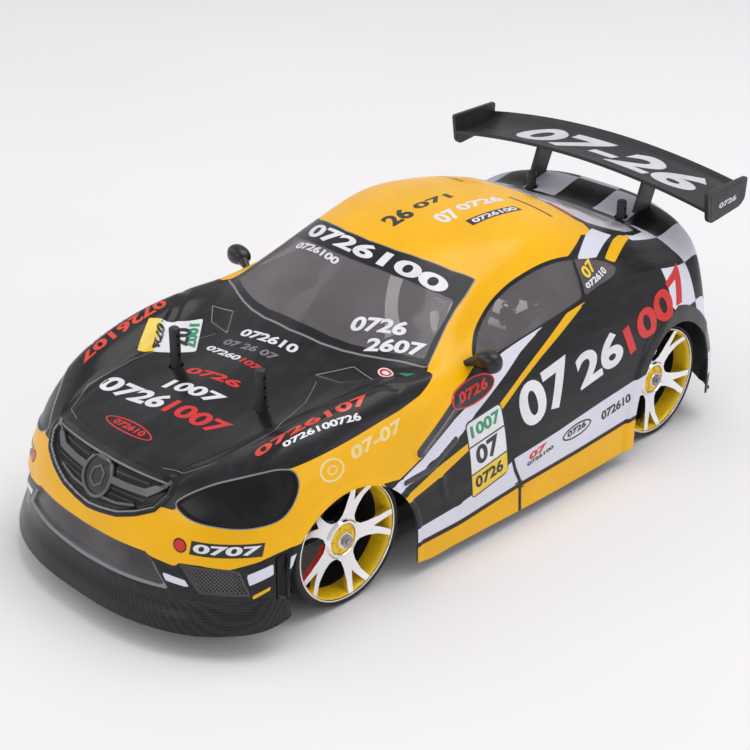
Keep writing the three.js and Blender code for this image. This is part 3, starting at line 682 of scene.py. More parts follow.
# Path of the painted highlight line down the middle of the upper scoop.
SCOOP_HIGHLIGHT_LINE = [(-64, 74.2), (-40, 88.4)]
SCOOP_LOW = [(-78, 61), (-60, 62.4), (-41, 72)]
SCOOP_ROUND = curve_through([(-52, 55), (-49.4, 42), (-41, 33), (-29, 30)], 5)
FRONT_ARCH = {"centre": (-109.5, 24), "half": 44.5, "height": 46}
REAR_ARCH = {"centre": (152.5, 28), "half": 38, "height": 49}
ARCH_SIDE = 84.0       # the arches cut the skin only further out than this
ARCH_HIGHLIGHT_WIDTH = 8.5        # widest part of the painted grey highlight on a rear wheel's flare
YELLOW_EDGE = [(0, 48.3), (44, 49.5), (47.3, 48.1), (61, 46.4), (63, 48.6), (72.4, 48.9), (83.5, 47.2),
               (91.2, 49.8), (94.8, 52.4), (99, 55)]
TAIL_LAMP = curve_through([(58, 96), (74, 95), (88, 92), (96, 84), (92, 78), (78, 80), (62, 83)], 4,
                          closed=True)
CHECK = 25.5           # side of a square in the chequered tail
CHECK_START_Y = 171.0
CHECK_START_GIRTH = -10.0

for arch in (FRONT_ARCH, REAR_ARCH):
    arch["centre"] = (arch["centre"][0] + NOSE_SHIFT, arch["centre"][1])

# Limits that keep what is drawn in one view off the parts of the car that the view doesn't show.
NOSE_BACK = -118       # the nose's marks lie ahead of this
FLANK_IN = 62          # marks of the side view lie further out than this
CABIN_IN = 60          # and the side windows than this
SCREEN_LOW = 98        # the windscreen lies above this


def arch_distance(v, arch):
    """How far a point is inside a wheel arch, seen from the side."""
    (y0, z0), half, height = arch["centre"], arch["half"], arch["height"]
    across, up = (v.y - y0) / half, np.maximum(v.z - z0, 0) / height
    reach = np.sqrt(across**2 + up**2)
    scale = np.where(v.z > z0, (half + height) / 2, half)
    return np.minimum((1 - reach) * scale, v.x - ARCH_SIDE)


def ahead(v, y):
    """How far in front of a station each point is."""
    return y - v.y


def relief(v):
    """Height of the moulded detail over the smooth surface, in millimetres."""
    nose = smooth_step(ahead(v, -125), 6)
    grille = inside_distance(v.front, GRILLE)
    height = 0.7 * smooth_step(1.6 - np.abs(grille + 0.8), 1.4) * nose
    recesses = [            # distance inside, depth, and where its wall's middle is and how wide the wall is
        (grille, 2.4, 1.0, 1.8),
        (inside_distance(v.corner, HEADLIGHT), 0.9, 0.6, 1.6),
        (inside_distance(v.front, INTAKE), 2.6, 1.0, 2.0),
        (inside_distance(v.corner, VENT), 1.8, 1.2, 2.0),
        (inside_distance(v.corner, SLOT), 2.6, 1.0, 1.8),
    ]
    for distance, depth, inset, edge in recesses:
        height -= depth * smooth_step(distance - inset, edge) * nose
    on_top = smooth_step(v.z - 80, 8) * smooth_step(ahead(v, -50), 20)
    height -= 1.1 * smooth_step(2.6 - line_distance(v.top, CREASE), 3.2) * on_top
    height -= 0.9 * smooth_step(inside_distance(v.top, HOOD_VENT), 2.4) * on_top
    flank = smooth_step(v.x - 88, 6)
    for path, size, rise in ((SCOOP_HIGH, 3.4, 1.9), (SCOOP_LOW, 2.0, 1.3), (SCOOP_ROUND, 1.1, 0.7)):
        height += rise * smooth_step(size - line_distance(v.side, path), size) * flank
    for arch, width, rise in ((FRONT_ARCH, 3.0, 0.7), (REAR_ARCH, 8.0, 1.4)):
        height += rise * smooth_step(arch_distance(v, arch) + width, 2.2) * smooth_step(v.x - 90, 5)
    return height


def chequers(v, arch_highlight):
    """The white squares of the tail: they follow the skin around, and down over the tail's edge."""
    down_tail = np.clip((v.y - 190) / 15, 0, 1) * np.maximum(0, 108 - v.z)
    along = np.sin(math.pi * (v.y + down_tail - CHECK_START_Y) / CHECK)
    around = np.sin(math.pi * (v.girth - CHECK_START_GIRTH) / CHECK)
    squares = -along * around * CHECK / math.pi
    return np.min([squares, v.y - 147, -arch_highlight, v.z - 30, -inside_distance(v.top, REAR_FRAME)], 0)


def zones(v):
    """Signed distances, positive inside, that the paint's borders are drawn from."""
    nose, flank, cabin = ahead(v, NOSE_BACK), v.x - FLANK_IN, v.x - CABIN_IN
    grille = np.minimum(inside_distance(v.front, GRILLE) + 2.2, nose)
    lamp = within(v.corner, HEADLIGHT, nose)
    intake = within(v.front, INTAKE, nose)
    vent = within(v.corner, VENT, nose)
    slot = within(v.corner, SLOT, nose)
    screen = within(v.top, SCREEN, v.z - SCREEN_LOW)
    glass = within(v.side, SIDE_GLASS, cabin)
    yellow_edge = np.interp(v.x, *zip(*YELLOW_EDGE)) - v.z
    low_nose = np.minimum(np.where(v.x < 99, yellow_edge, 53.5 - v.z), nose)
    behind = np.minimum(v.y - 116, np.maximum(v.z - 33.2, v.y - 170))
    black = np.max([
        grille, low_nose, screen, glass + 1.8, behind,
        within(v.top, BONNET, v.z - 71.9),
        within(v.side, WING_TOP, v.x - 83),
        within(v.top, REAR_FRAME, v.z - 100),
        within(v.side, SIDE_BLACK, flank),
    ], 0)

    # Painted highlight: a grey band along the rear arch's flare, widening towards the back; the chequers keep
    # off it.
    arch_edge = -arch_distance(v, REAR_ARCH)
    highlight_width = ARCH_HIGHLIGHT_WIDTH * np.clip((v.y - 126) / 26, 0, 1)
    arch_highlight = np.min([highlight_width - arch_edge, v.y - 118, v.z - np.clip(2 * (v.y - 160), 0, 45)], 0)
    white = np.max([
        within(v.side, WHITE_SWEEP, flank),
        within(v.side, WHITE_BAND, flank),
        within(v.top, PILLAR_WHITE, v.z - 110),
        *[within(v.corner, outline, nose) for outline in BUMPER_WHITES],
        chequers(v, arch_highlight),
    ], 0)
    gold = np.max([
        within(v.side, GOLD_SWEEP, flank),
        within(v.top, PILLAR_GOLD, v.z - 108),
        within(v.corner, BUMPER_GOLD, nose),
    ], 0)

    # each line: distance, half width and where it may be drawn
    seam, seam_near = nearest_line([
        (across_line(v.side, DOOR_LINE), 1.15, np.minimum(flank, 46 - v.z)),
        (across_line(v.side, SILL_LINE), 1.4, np.minimum(flank, 130 - v.y)),
        (across_line(v.side, PILLAR_LINE), 1.1, glass),
        (v.y - 171.5, 0.45, np.minimum(62 - v.x, v.z - 90)),
        (across_line(v.top, ROOF_SLOT), 0.9, np.min([v.x - 18, 47 - v.x, v.z - 120], 0)),
    ])
    bonnet_area = np.min([v.z - 84, v.x - 2, -84 - v.y, v.y + 182], 0)
    # Pale lines: the first screen line is a printed pinstripe; the others are painted highlights along
    # moulded edges.
    pale, pale_near = nearest_line([
        (lamp + 0.2, 0.28, np.full(len(v.x), 9.0)),
        (screen - 1.2, 0.55, np.minimum(-40.5 - v.y, v.z - SCREEN_LOW)),
        (screen, 0.3, np.minimum(v.y + 42, v.z - SCREEN_LOW)),
        (grille - 2.6, 0.3, nose),
        (intake - 0.2, 0.65, np.minimum(45.5 - v.z, nose)),
        (across_line(v.side, SCOOP_HIGHLIGHT_LINE), 0.4, np.min([flank, v.y + 66, -39 - v.y], 0)),
        (across_line(v.top, HOOD_LINE), 0.16, bonnet_area),
        (inside_distance(v.top, HOOD_VENT), 0.22, v.z - 90),
    ])

    # Painted highlight: a grey capsule along the upper scoop; the lower scoop gets a grey capsule too.
    scoop_highlight = np.minimum(3.0 - line_distance(v.side, SCOOP_HIGH), flank)
    scoop_low = np.minimum(1.7 - line_distance(v.side, SCOOP_LOW), flank)
    return {
        "black": black, "white": white, "gold": gold, "lamp": lamp,
        # Smoked plastic in the intake and vent; painted grey highlights on the rear arch flares and along the
        # upper scoop.
        "smoke_and_highlight": np.max([intake, vent, arch_highlight, scoop_highlight, scoop_low], 0),
        # Painted shade: near-black deep inside the grille and the bumper slots.
        "dark": np.maximum(grille - 3.0, slot),
        "louvre": intake - 3.0,
        "tail": within(v.front, TAIL_LAMP, v.y - 185),
        "carbon": np.minimum(29.5 - v.z, nose),
        "seam": seam, "seam_near": seam_near, "pale": pale, "pale_near": pale_near,
    }


# ---- cutting the skin along zero lines of a distance


class Skin:
    """Faces over two sets of points: where they lie on the smooth surface, and where the relief puts them."""

    def __init__(self, base, points, faces):
        self.base, self.points = list(base), list(points)
        self.faces = faces
        self.tags = [0] * len(faces)

    def split(self, distance, tag):
        """Cuts faces along distance = 0, and gives tag to those inside."""
        values = list(distance(Views(np.array(self.base))))
        cuts, faces, tags = {}, [], []
        for face, old in zip(self.faces, self.tags):
            signs = [values[k] > 0 for k in face]
            if all(signs) or not any(signs):
                faces.append(face)
                tags.append(tag if signs[0] else old)
                continue
            parts = {True: [], False: []}
            for a, b in zip(face, face[1:] + face[:1]):
                parts[values[a] > 0].append(a)
                if (values[a] > 0) != (values[b] > 0):
                    key = (min(a, b), max(a, b))
                    if key not in cuts:
                        share = values[key[0]] / (values[key[0]] - values[key[1]])
                        share = min(max(share, 0.02), 0.98)
                        cuts[key] = len(self.base)
                        self.base.append(self.base[key[0]] * (1 - share) + self.base[key[1]] * share)
                        self.points.append(self.points[key[0]] * (1 - share) + self.points[key[1]] * share)
                    parts[True].append(cuts[key])
                    parts[False].append(cuts[key])
            for inside, part in parts.items():
                if len(part) > 2:
                    faces.append(tuple(part))
                    tags.append(tag if inside else old)
        self.faces, self.tags = faces, tags

    def without(self, tag):
        """Drops the faces that have a tag, and the points that only they use."""
        keep = [k for k, t in enumerate(self.tags) if t != tag]
        self.faces, self.tags = [self.faces[k] for k in keep], [self.tags[k] for k in keep]
        used = sorted({k for face in self.faces for k in face})
        new = {k: i for i, k in enumerate(used)}
        self.base, self.points = [self.base[k] for k in used], [self.points[k] for k in used]
        self.faces = [tuple(new[k] for k in face) for face in self.faces]


def face_normals(points, faces, count):
    """Unit normals at the points, averaged over the faces around them."""
    normals = np.zeros((count, 3))
    for size in {len(face) for face in faces}:
        group = np.array([face for face in faces if len(face) == size])
        corner = points[group]
        area = np.cross(corner[:, 1] - corner[:, 0], corner[:, 2] - corner[:, 0])
        if size > 3:
            area = area + np.cross(corner[:, 2] - corner[:, 0], corner[:, 3] - corner[:, 0])
        for k in range(size):
            np.add.at(normals, group[:, k], area)
    return normals / np.maximum(np.linalg.norm(normals, axis=1, keepdims=True), 1e-9)


TAG_PAINT, TAG_WINDOW, TAG_REAR_WINDOW, TAG_INSIDE, TAG_VENT, TAG_HOLE = range(6)


def skin_mesh():
    """The whole outer skin, before anything is cut from it."""
    grid = skin_grid()
    across, along = grid.shape[:2]
    normals = grid_normals(grid).reshape(-1, 3)
    base = grid.reshape(-1, 4)
    points = base[:, :3] + normals * relief(Views(base))[:, None]
    at = np.arange(across * along).reshape(across, along)
    quads = np.stack([at[:-1, :-1], at[1:, :-1], at[1:, 1:], at[:-1, 1:]], -1).reshape(-1, 4)
    return Skin(base, points, [tuple(int(k) for k in q) for q in quads])


POST_RADIUS = 3.0
POST_HOLE = 4.2
POST_FOOT = 4.0        # half width of the foot, which is the widest part of a post


def window_distance(v):
    """Inside the windscreen or a side window, which a thin pillar divides."""
    beside_pillar = line_distance(v.side, PILLAR_LINE) - 1.1
    side_glass = within(v.side, SIDE_GLASS, v.x - CABIN_IN, beside_pillar)
    return np.maximum(side_glass, within(v.top, SCREEN_GLASS, v.z - SCREEN_LOW))


def post_hole_distance(v):
    """Inside the round holes that the body posts stand in."""
    holes = []
    for post in ("body_post_front_left", "body_post_rear_left"):
        _, high = box_mm(post)
        holes.append(POST_HOLE - np.hypot(v.x - (high[0] - POST_FOOT), v.y - (high[1] - POST_RADIUS)))
    return np.minimum(np.max(holes, 0), v.z - 60)


def build_shell():
    """The painted shell, as one thin piece. Gives back its surface before the cuts, for the marks."""
    skin = skin_mesh()
    whole = BVHTree.FromPolygons([tuple(p) for p in skin.points], skin.faces)
    for arch in (FRONT_ARCH, REAR_ARCH):
        skin.split(lambda v, arch=arch: arch_distance(v, arch), TAG_HOLE)
        skin.without(TAG_HOLE)
    skin.split(post_hole_distance, TAG_HOLE)
    skin.without(TAG_HOLE)
    skin.split(window_distance, TAG_WINDOW)
    skin.split(lambda v: within(v.top, REAR_GLASS, v.z - 100), TAG_REAR_WINDOW)
    skin.split(lambda v: within(v.corner, MESH, ahead(v, NOSE_BACK), v.z - 20), TAG_VENT)

    points, base = np.array(skin.points), np.array(skin.base)
    count = len(points)
    normals = face_normals(points, skin.faces, count)
    edges = {edge: True for face in skin.faces for edge in zip(face, face[1:] + face[:1])}
    rim = [(a, b) for a, b in edges if (b, a) not in edges]
    inner = points - normals * SKIN_THICK
    faces = list(skin.faces) + [tuple(k + count for k in face[::-1]) for face in skin.faces]
    tags = list(skin.tags) + [TAG_INSIDE if t in (TAG_PAINT, TAG_VENT) else t for t in skin.tags]
    faces += [(b, a, a + count, b + count) for a, b in rim]
    tags += [TAG_INSIDE] * len(rim)

    inside = finish("shell_inside", rgb(46, 44, 44), 0.6, mottle=0.2)
    # The rear window's pale, nearly opaque grey is a painted reflection of the bright room on its glancing
    # glass.
    materials = [paint_shader(), window_shader("smoke_window", rgb(126, 120, 124), 0.5),
                 window_shader("rear_window", rgb(206, 202, 208), 0.8), inside, mesh_vent_shader()]
    shell = link_mesh("shell_skin", np.concatenate([points, inner]), faces, materials, "shell",
                      tags)
    for name, values in zones(Views(np.concatenate([base, base]))).items():
        attribute = shell.data.attributes.new(name, "FLOAT", "POINT")
        attribute.data.foreach_set("value", values.astype(np.float32))
    sharp = shell.data.attributes.new("sharp_edge", "BOOLEAN", "EDGE")
    border = {tuple(sorted(pair)) for pair in rim} | {tuple(sorted((a + count, b + count))) for a, b in rim}
    flags = [tuple(sorted(edge.vertices)) in border for edge in shell.data.edges]
    sharp.data.foreach_set("value", flags)
    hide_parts("body_shell")
    return whole


surface = build_shell()

# ---------------------------------------------------------------- flat outlines made into thin solids


def fill_outline(loops, spacing):
    """Triangles over the area inside closed loops (a loop within a loop is a hole), and their open edges."""
    points, edges = [], []
    for loop in loops:
        loop = np.asarray(loop, float)
        start = len(points)
        for a, b in zip(loop, np.roll(loop, -1, axis=0)):
            cuts = max(1, math.ceil(np.linalg.norm(b - a) / spacing))
            points += [a + (b - a) * k / cuts for k in range(cuts)]
        count = len(points) - start
        edges += [(start + k, start + (k + 1) % count) for k in range(count)]
    rim = np.array(points)
    low, high = rim.min(axis=0), rim.max(axis=0)
    across, up = np.meshgrid(np.arange(low[0], high[0], spacing), np.arange(low[1], high[1], spacing))
    inner = np.stack([across.ravel(), up.ravel()], 1)
    if len(inner):
        inner = inner[depth_inside(inner, loops) > spacing * 0.45]
        points += list(inner)
    flat, _, faces, *_ = delaunay_2d_cdt([Vector(p) for p in points], edges, [], 0, 1e-5)
    flat = np.array([tuple(p) for p in flat])
    faces = np.array([f for f in faces if len(f) == 3])
    keep = depth_inside(flat[faces].mean(axis=1), loops) > 0
    faces = [tuple(int(k) for k in face) for face in faces[keep]]
    sides = {(a, b) for face in faces for a, b in zip(face, face[1:] + face[:1])}
    return flat, faces, [(a, b) for a, b in sides if (b, a) not in sides]


def depth_inside(points, loops):
    """Distance to the nearest loop, positive where an odd number of loops goes round the point."""
    fields = [inside_distance(points, loop) for loop in loops]
    odd = np.sum([field > 0 for field in fields], axis=0) % 2 == 1
    near = np.min([np.abs(field) for field in fields], axis=0)
    return np.where(odd, near, -near)


def thin_solid(top, bottom, faces, rim):
    """A sheet with two skins over the same triangles, closed along its open edges."""
    count = len(top)
    solid = list(faces) + [tuple(k + count for k in face[::-1]) for face in faces]
    solid += [(b, a, a + count, b + count) for a, b in rim]
    return np.concatenate([top, bottom]), solid


ROUND_STEPS = 4


def rounded(outline, radius):
    """A closed outline with each corner turned into an arc-like curve that starts radius away from it."""
    corners = np.asarray(outline, float)
    points = []
    for before, corner, after in zip(np.roll(corners, 1, axis=0), corners, np.roll(corners, -1, axis=0)):
        reach_in = min(radius, np.linalg.norm(before - corner) / 2.1)
        reach_out = min(radius, np.linalg.norm(after - corner) / 2.1)
        start = corner + (before - corner) / np.linalg.norm(before - corner) * reach_in
        end = corner + (after - corner) / np.linalg.norm(after - corner) * reach_out
        for k in range(ROUND_STEPS + 1):
            t = k / ROUND_STEPS
            points.append((1 - t) ** 2 * start + 2 * t * (1 - t) * corner + t**2 * end)
    return points


def ellipse(centre, half, steps=40, tilt=0.0):
    """The outline of an ellipse, turned by tilt degrees."""
    points = []
    turn = math.radians(tilt)
    for k in range(steps):
        angle = 2 * math.pi * k / steps
        a, b = half[0] * math.cos(angle), half[1] * math.sin(angle)
        points.append((centre[0] + a * math.cos(turn) - b * math.sin(turn),
                       centre[1] + a * math.sin(turn) + b * math.cos(turn)))
    return points


# ---------------------------------------------------------------- finishes shared by the pieces

CHROME = finish("chrome", rgb(248, 248, 250), 0.12, grain_depth_mm=0.004, mottle=0.03, metallic=1.0)
GOLD = finish("gold_chrome", rgb(255, 206, 30), 0.26, grain_depth_mm=0.006, mottle=0.06, metallic=0.05)
TYRE = finish("tyre", rgb(15, 15, 16), 0.34, grain_mm=0.5, grain_depth_mm=0.02, mottle=0.15, specular=0.45)
CALIPER_RED = finish("red_plastic", rgb(212, 30, 30), 0.3, mottle=0.08, coat=0.3)
SATIN_BLACK = finish("satin_black", rgb(44, 44, 47), 0.42, grain_mm=0.35, grain_depth_mm=0.03, mottle=0.08)
GLOSS_BLACK = finish("gloss_black", rgb(20, 20, 22), 0.3, grain_depth_mm=0.004, mottle=0.1, coat=0.1)
NYLON = finish("black_nylon", rgb(27, 27, 29), 0.55, grain_mm=0.4, grain_depth_mm=0.03, mottle=0.18)
STEEL = finish("steel", rgb(168, 168, 172), 0.3, grain_depth_mm=0.01, mottle=0.1, metallic=1.0)
ALUMINIUM = finish("aluminium", rgb(196, 197, 201), 0.34, grain_mm=0.3, grain_depth_mm=0.015, metallic=1.0)
MOTOR_CAN = finish("motor_can", rgb(150, 152, 156), 0.38, grain_depth_mm=0.01, mottle=0.12, metallic=1.0)
SHRINK_WRAP = finish("shrink_wrap", rgb(38, 84, 168), 0.22, mottle=0.14, mottle_mm=24, coat=0.5)
WHITE_PLASTIC = finish("white_plastic", rgb(222, 220, 212), 0.45, mottle=0.05)
FOAM = finish("foam", rgb(40, 40, 41), 0.95, grain_mm=1.2, grain_depth_mm=0.25, mottle=0.3, specular=0.2)
CIRCUIT = finish("controller_case", rgb(120, 22, 24), 0.35, mottle=0.08, coat=0.2)
MIRROR_GLASS = finish("mirror_glass", rgb(222, 224, 230), 0.05, grain_depth_mm=0.002, mottle=0.02,
                      metallic=1.0)


# ---------------------------------------------------------------- wheels

SIDES = (("left", 1), ("right", -1))
CORNERS = [(f"{end}_{name}", end, side) for end in ("front", "rear") for name, side in SIDES]
SPOKES = 5
# Half a spoke, as (radius, degrees from its middle): from the hub out to the lip and in to its split.
HALF_SPOKE = [(11.6, 32), (13.6, 19), (18, 13.6), (25, 12.2), (32.0, 14.2), (32.0, 8.4), (26, 4.0), (21.6, 0)]
FIRST_SPOKE = {"front": 69, "rear": 51}    # degrees that the first spoke is turned by
SPOKE_THICK = 3.2
BOLT_CIRCLE = 6.8
PAD_RADIUS = 22.4      # circle that the caliper's bosses and bolts lie on
ARC_STEPS = 10


def at_corner(centre, side):
    """Puts what is drawn around the x axis, its outer face towards +X, at one corner of the car."""
    return lambda points: np.array(centre) + points * (side, side, 1)


def spoke_outline(first):
    """The star of spokes seen from outside; the first one stands at the given angle."""
    spoke = [(r, -angle) for r, angle in HALF_SPOKE] + HALF_SPOKE[-2::-1]
    points = []
    for k in range(SPOKES):
        for r, angle in spoke:
            turn = math.radians(angle + 360 * k / SPOKES + first)
            points.append((r * math.cos(turn), r * math.sin(turn)))
    return points


def spoke_star(first):
    """The spokes as a solid that is thickest out at the lip."""
    flat, faces, rim = fill_outline([spoke_outline(first)], 3.0)
    reach = np.linalg.norm(flat, axis=1)
    ridge = 7.2 + 4.4 * (reach / 32) ** 3
    top = np.column_stack([ridge, flat])
    bottom = np.column_stack([ridge - SPOKE_THICK, flat])
    return thin_solid(top, bottom, faces, rim)


def hexagon(radius, low, high):
    """A six-sided nut around the wheel's axis."""
    turns = [math.pi / 3 * k for k in range(6)]
    return slab([(radius * math.cos(turn), radius * math.sin(turn)) for turn in turns], "x", low, high)


def build_rim(tag, side, centre, first):
    """The chrome spokes, and a second piece with the lip, the gold barrel, the hub, its bolts and the nut."""
    bright = Parts().add(*spoke_star(first))
    bright.moved(at_corner(centre, side))
    spokes = bright.piece("spokes_" + tag, [CHROME], "wheel_" + tag, "chrome_plated_plastic")
    soften_edges(spokes, 0.75)
    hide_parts("rim_" + tag)

    # profiles, as (radius, distance from the wheel's middle)
    lip = [(33.3, 8.2), (33.4, 11.6), (33.25, 12.1), (32.9, 12.25), (32.5, 12.1), (32.3, 11.6), (32.2, 8.2)]
    flange = [(32.4, 11.4), (31.9, 11.0), (31.3, 9.8), (30.9, 8), (30.5, 4), (30.4, 0.6), (31.4, 0.6),
              (32.4, 8)]
    barrel = [(30.5, 0.8), (30.0, -3), (29.4, -9), (29.2, -10.6), (29.6, -11.6), (30.4, -12), (33.3, -12),
              (33.3, -10), (31.4, -9), (31.3, 0.8)]
    cup = [(10.9, 5.0), (10.9, 8.0), (10.2, 8.9), (9.2, 9.0), (8.6, 8.6), (8.6, 5.0)]
    disc = [(0, 5.2), (8.5, 5.2), (8.5, 7.6), (7.9, 8.2), (5.8, 8.5), (5.2, 9.2), (0, 9.2)]
    washer = [(0, 9.0), (4.6, 9.0), (4.6, 9.9), (4.1, 10.3), (0, 10.3)]
    axle = [(0, 10.0), (1.7, 10.0), (1.7, 12.6), (1.3, 12.9), (0, 12.9)]
    ring = Parts()
    in_chrome, in_gold, in_steel, in_black = range(4)
    for shape, material in (
        (turned(lip, 96), in_chrome), (turned(flange, 96), in_gold), (turned(barrel, 96), in_black),
        (turned(cup, 64), in_chrome), (capped(disc, 64), in_gold), (capped(washer, 40), in_chrome),
        (hexagon(3.5, 10.2, 12.0), in_steel), (capped(axle, 20), in_steel),
    ):
        ring.add(*shape, material)
    bolt = [(0, 8.0), (0.9, 8.0), (0.9, 8.9), (0.6, 9.2), (0, 9.2)]
    pin = [(0, -2), (1.0, -2), (1.0, 5.6), (0, 5.6)]
    for k in range(SPOKES):
        angle = 2 * math.pi * (k + 0.5) / SPOKES + math.radians(first)
        spot = (0, BOLT_CIRCLE * math.cos(angle), BOLT_CIRCLE * math.sin(angle))
        ring.add(*capped(bolt, 12, spot), in_gold)
        ring.add(*capped(pin, 10, spot), in_chrome)
    ring.moved(at_corner(centre, side))
    rim = ring.piece("rim_ring_" + tag, [CHROME, GOLD, STEEL, NYLON], "wheel_" + tag, "chrome_plated_plastic")
    sharpen(rim, 32)


def build_tyre(tag, side, centre):
    """A slick tyre with two fine ridges on its shoulders."""
    half = [(36.5, 0), (36.5, 9.6), (36.42, 10.4), (36.15, 11.3), (35.7, 11.95), (35.3, 12.25), (34.95, 12.4),
            (34.75, 12.2), (34.5, 12.36), (34.1, 12.2), (33.75, 11.9), (33.45, 11.3)]
    profile = half + [(r, -x) for r, x in half[:0:-1]]
    tyre = Parts().add(*turned(profile, 128)).moved(at_corner(centre, side))
    piece = tyre.piece("tyre_skin_" + tag, [TYRE], "wheel_" + tag, "tyre_plastic")
    sharpen(piece, 50)
    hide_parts("tyre_" + tag)


def build_caliper(tag, end, side, centre):
    """A two-piston caliper: a curved block with a bridge, two round bosses and two bolts."""
    start, stop = (150, 200) if end == "front" else (100, 150)
    low, high = box_mm("brake_caliper_" + tag)
    inner_x, outer_x = sorted((abs(low[0]), abs(high[0])))

    def arc(radius, first, last):
        """Points of an arc around the wheel's axis."""
        turns = [math.radians(first + (last - first) * k / ARC_STEPS) for k in range(ARC_STEPS + 1)]
        return [(centre[1] + radius * math.cos(t), centre[2] + radius * math.sin(t)) for t in turns]

    def pad_spot(degrees):
        """A place on the circle of bosses and bolts."""
        turn = math.radians(degrees)
        return (0, centre[1] + PAD_RADIUS * math.cos(turn), centre[2] + PAD_RADIUS * math.sin(turn))

    block = Parts()
    outline = arc(27.0, start, stop) + arc(17.6, stop, start)
    bridge = arc(25.4, start + 4, stop - 4) + arc(19.4, stop - 4, start + 4)
    block.add(*slab(outline, "x", side * inner_x, side * (outer_x - 1.4)))
    block.add(*slab(bridge, "x", side * (outer_x - 1.8), side * (outer_x - 0.4)))
    # profiles, as (radius, depth under the outer face)
    boss = [(0, 1.0), (2.9, 1.0), (2.9, 0.3), (2.4, 0), (0, 0)]
    bolt = [(0, 1.6), (1.3, 1.6), (1.3, 0.5), (0, 0.5)]
    boss, bolt = ([(radius, side * (outer_x - depth)) for radius, depth in shape] for shape in (boss, bolt))
    for share in (0.3, 0.7):
        block.add(*capped(boss, 24, pad_spot(start + (stop - start) * share)))
    for turn in (start + 5, stop - 5):
        block.add(*capped(bolt, 6, pad_spot(turn)), 1)
    side_name = "left" if side > 0 else "right"
    body = f"knuckle_{side_name}" if end == "front" else f"carrier_{tag}"
    piece = block.piece("caliper_" + tag, [CALIPER_RED, STEEL], body, "red_plastic")
    soften_edges(piece, 0.5)
    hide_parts("brake_caliper_" + tag)


def build_wheels():
    """Rim, tyre and brake caliper at each corner."""
    for tag, end, side in CORNERS:
        low, high = box_mm("tyre_" + tag)
        centre = (low + high) / 2
        build_rim(tag, side, centre, FIRST_SPOKE[end])
        build_tyre(tag, side, centre)
        build_caliper(tag, end, side, centre)


# ---------------------------------------------------------------- wing, mirrors and posts

WING_ARCH = 9.0        # how much higher the blade is in its middle
WING_STEPS = 36
BLADE = curve_through([(0, 2.4), (0.14, 1.1), (0.3, 0.4), (0.65, 0.7), (0.88, 2.6), (0.96, 4.6),
                       (1.0, 7.0)], 4)     # share of the chord, and height


def build_wing():
    """The arched blade, its two end plates and its two struts."""
    low, high = box_mm("rear_wing")
    span = high[0] - 1.9
    chord_low, chord_high = low[1] + 1.0, high[1]
    tip_z = high[2] - 7.0 - WING_ARCH
    slope = np.gradient(BLADE * (chord_high - chord_low, 1), axis=0)
    slope /= np.linalg.norm(slope, axis=1, keepdims=True)
    along = BLADE[:, 0] * (chord_high - chord_low)
    thick = 2.3 - 0.7 * BLADE[:, 0]
    under = np.column_stack([along + slope[:, 1] * thick, BLADE[:, 1] - slope[:, 0] * thick])
    under[:, 0] = np.clip(under[:, 0], 0, chord_high - chord_low)
    section = np.concatenate([np.column_stack([along, BLADE[:, 1]]), under[::-1]])
    steps, count = WING_STEPS, len(section)
    blade = Parts()
    points, faces = [], []
    for k in range(steps + 1):
        x = span * (1 - 2 * k / steps)
        lift = tip_z + WING_ARCH * (1 - (x / span) ** 2)
        points += [(x, chord_low + a, lift + b) for a, b in section]
    for k in range(steps):
        faces += [(k * count + j, k * count + (j + 1) % count, (k + 1) * count + (j + 1) % count,
                   (k + 1) * count + j) for j in range(count)]
    faces += [tuple(range(count)), tuple(range(steps * count, (steps + 1) * count))[::-1]]
    blade.add(points, faces)
    wing = blade.piece("wing_blade", [SATIN_BLACK], "shell", "satin_black_plastic")
    soften_edges(wing, 0.5, 40)
    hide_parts("rear_wing")

    base = low[2]
    outline = rounded([(low[1], base + 20.5), (low[1] + 2.5, base + 2.5), (low[1] + 6, base),
                       (high[1] - 6, base + 3.5), (high[1] - 1, base + 7), (high[1], base + 20.9)], 2.2)
    for name, side in SIDES:
        plate = Parts().add(*slab(outline, "x", side * (high[0] - 2.8), side * high[0]))
        inset = [(y * 0.86 + (low[1] + high[1]) * 0.07, z * 0.8 + (base + 10.5) * 0.2) for y, z in outline]
        plate.add(*slab(inset, "x", side * (high[0] - 0.5), side * (high[0] + 0.25)))
        piece = plate.piece("wing_end_" + name, [SATIN_BLACK], "shell", "satin_black_plastic")
        soften_edges(piece, 0.6)
        foot_low, foot_high = box_mm("wing_strut_" + name)
        y0, z0, y1, z1 = foot_low[1], foot_low[2], foot_high[1], foot_high[2]
        leg = [(y0, z0), (y0 + 15, z0), (y0 + 17, z0 + 5), (y1, z1), (y1 - 16, z1), (y0 + 2, z0 + 5)]
        strut = Parts().add(*slab(rounded(leg, 0.8), "x", foot_low[0], foot_high[0]))
        piece = strut.piece("strut_" + name, [SATIN_BLACK], "shell", "satin_black_plastic")
        soften_edges(piece, 0.5)
        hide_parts("wing_strut_" + name)


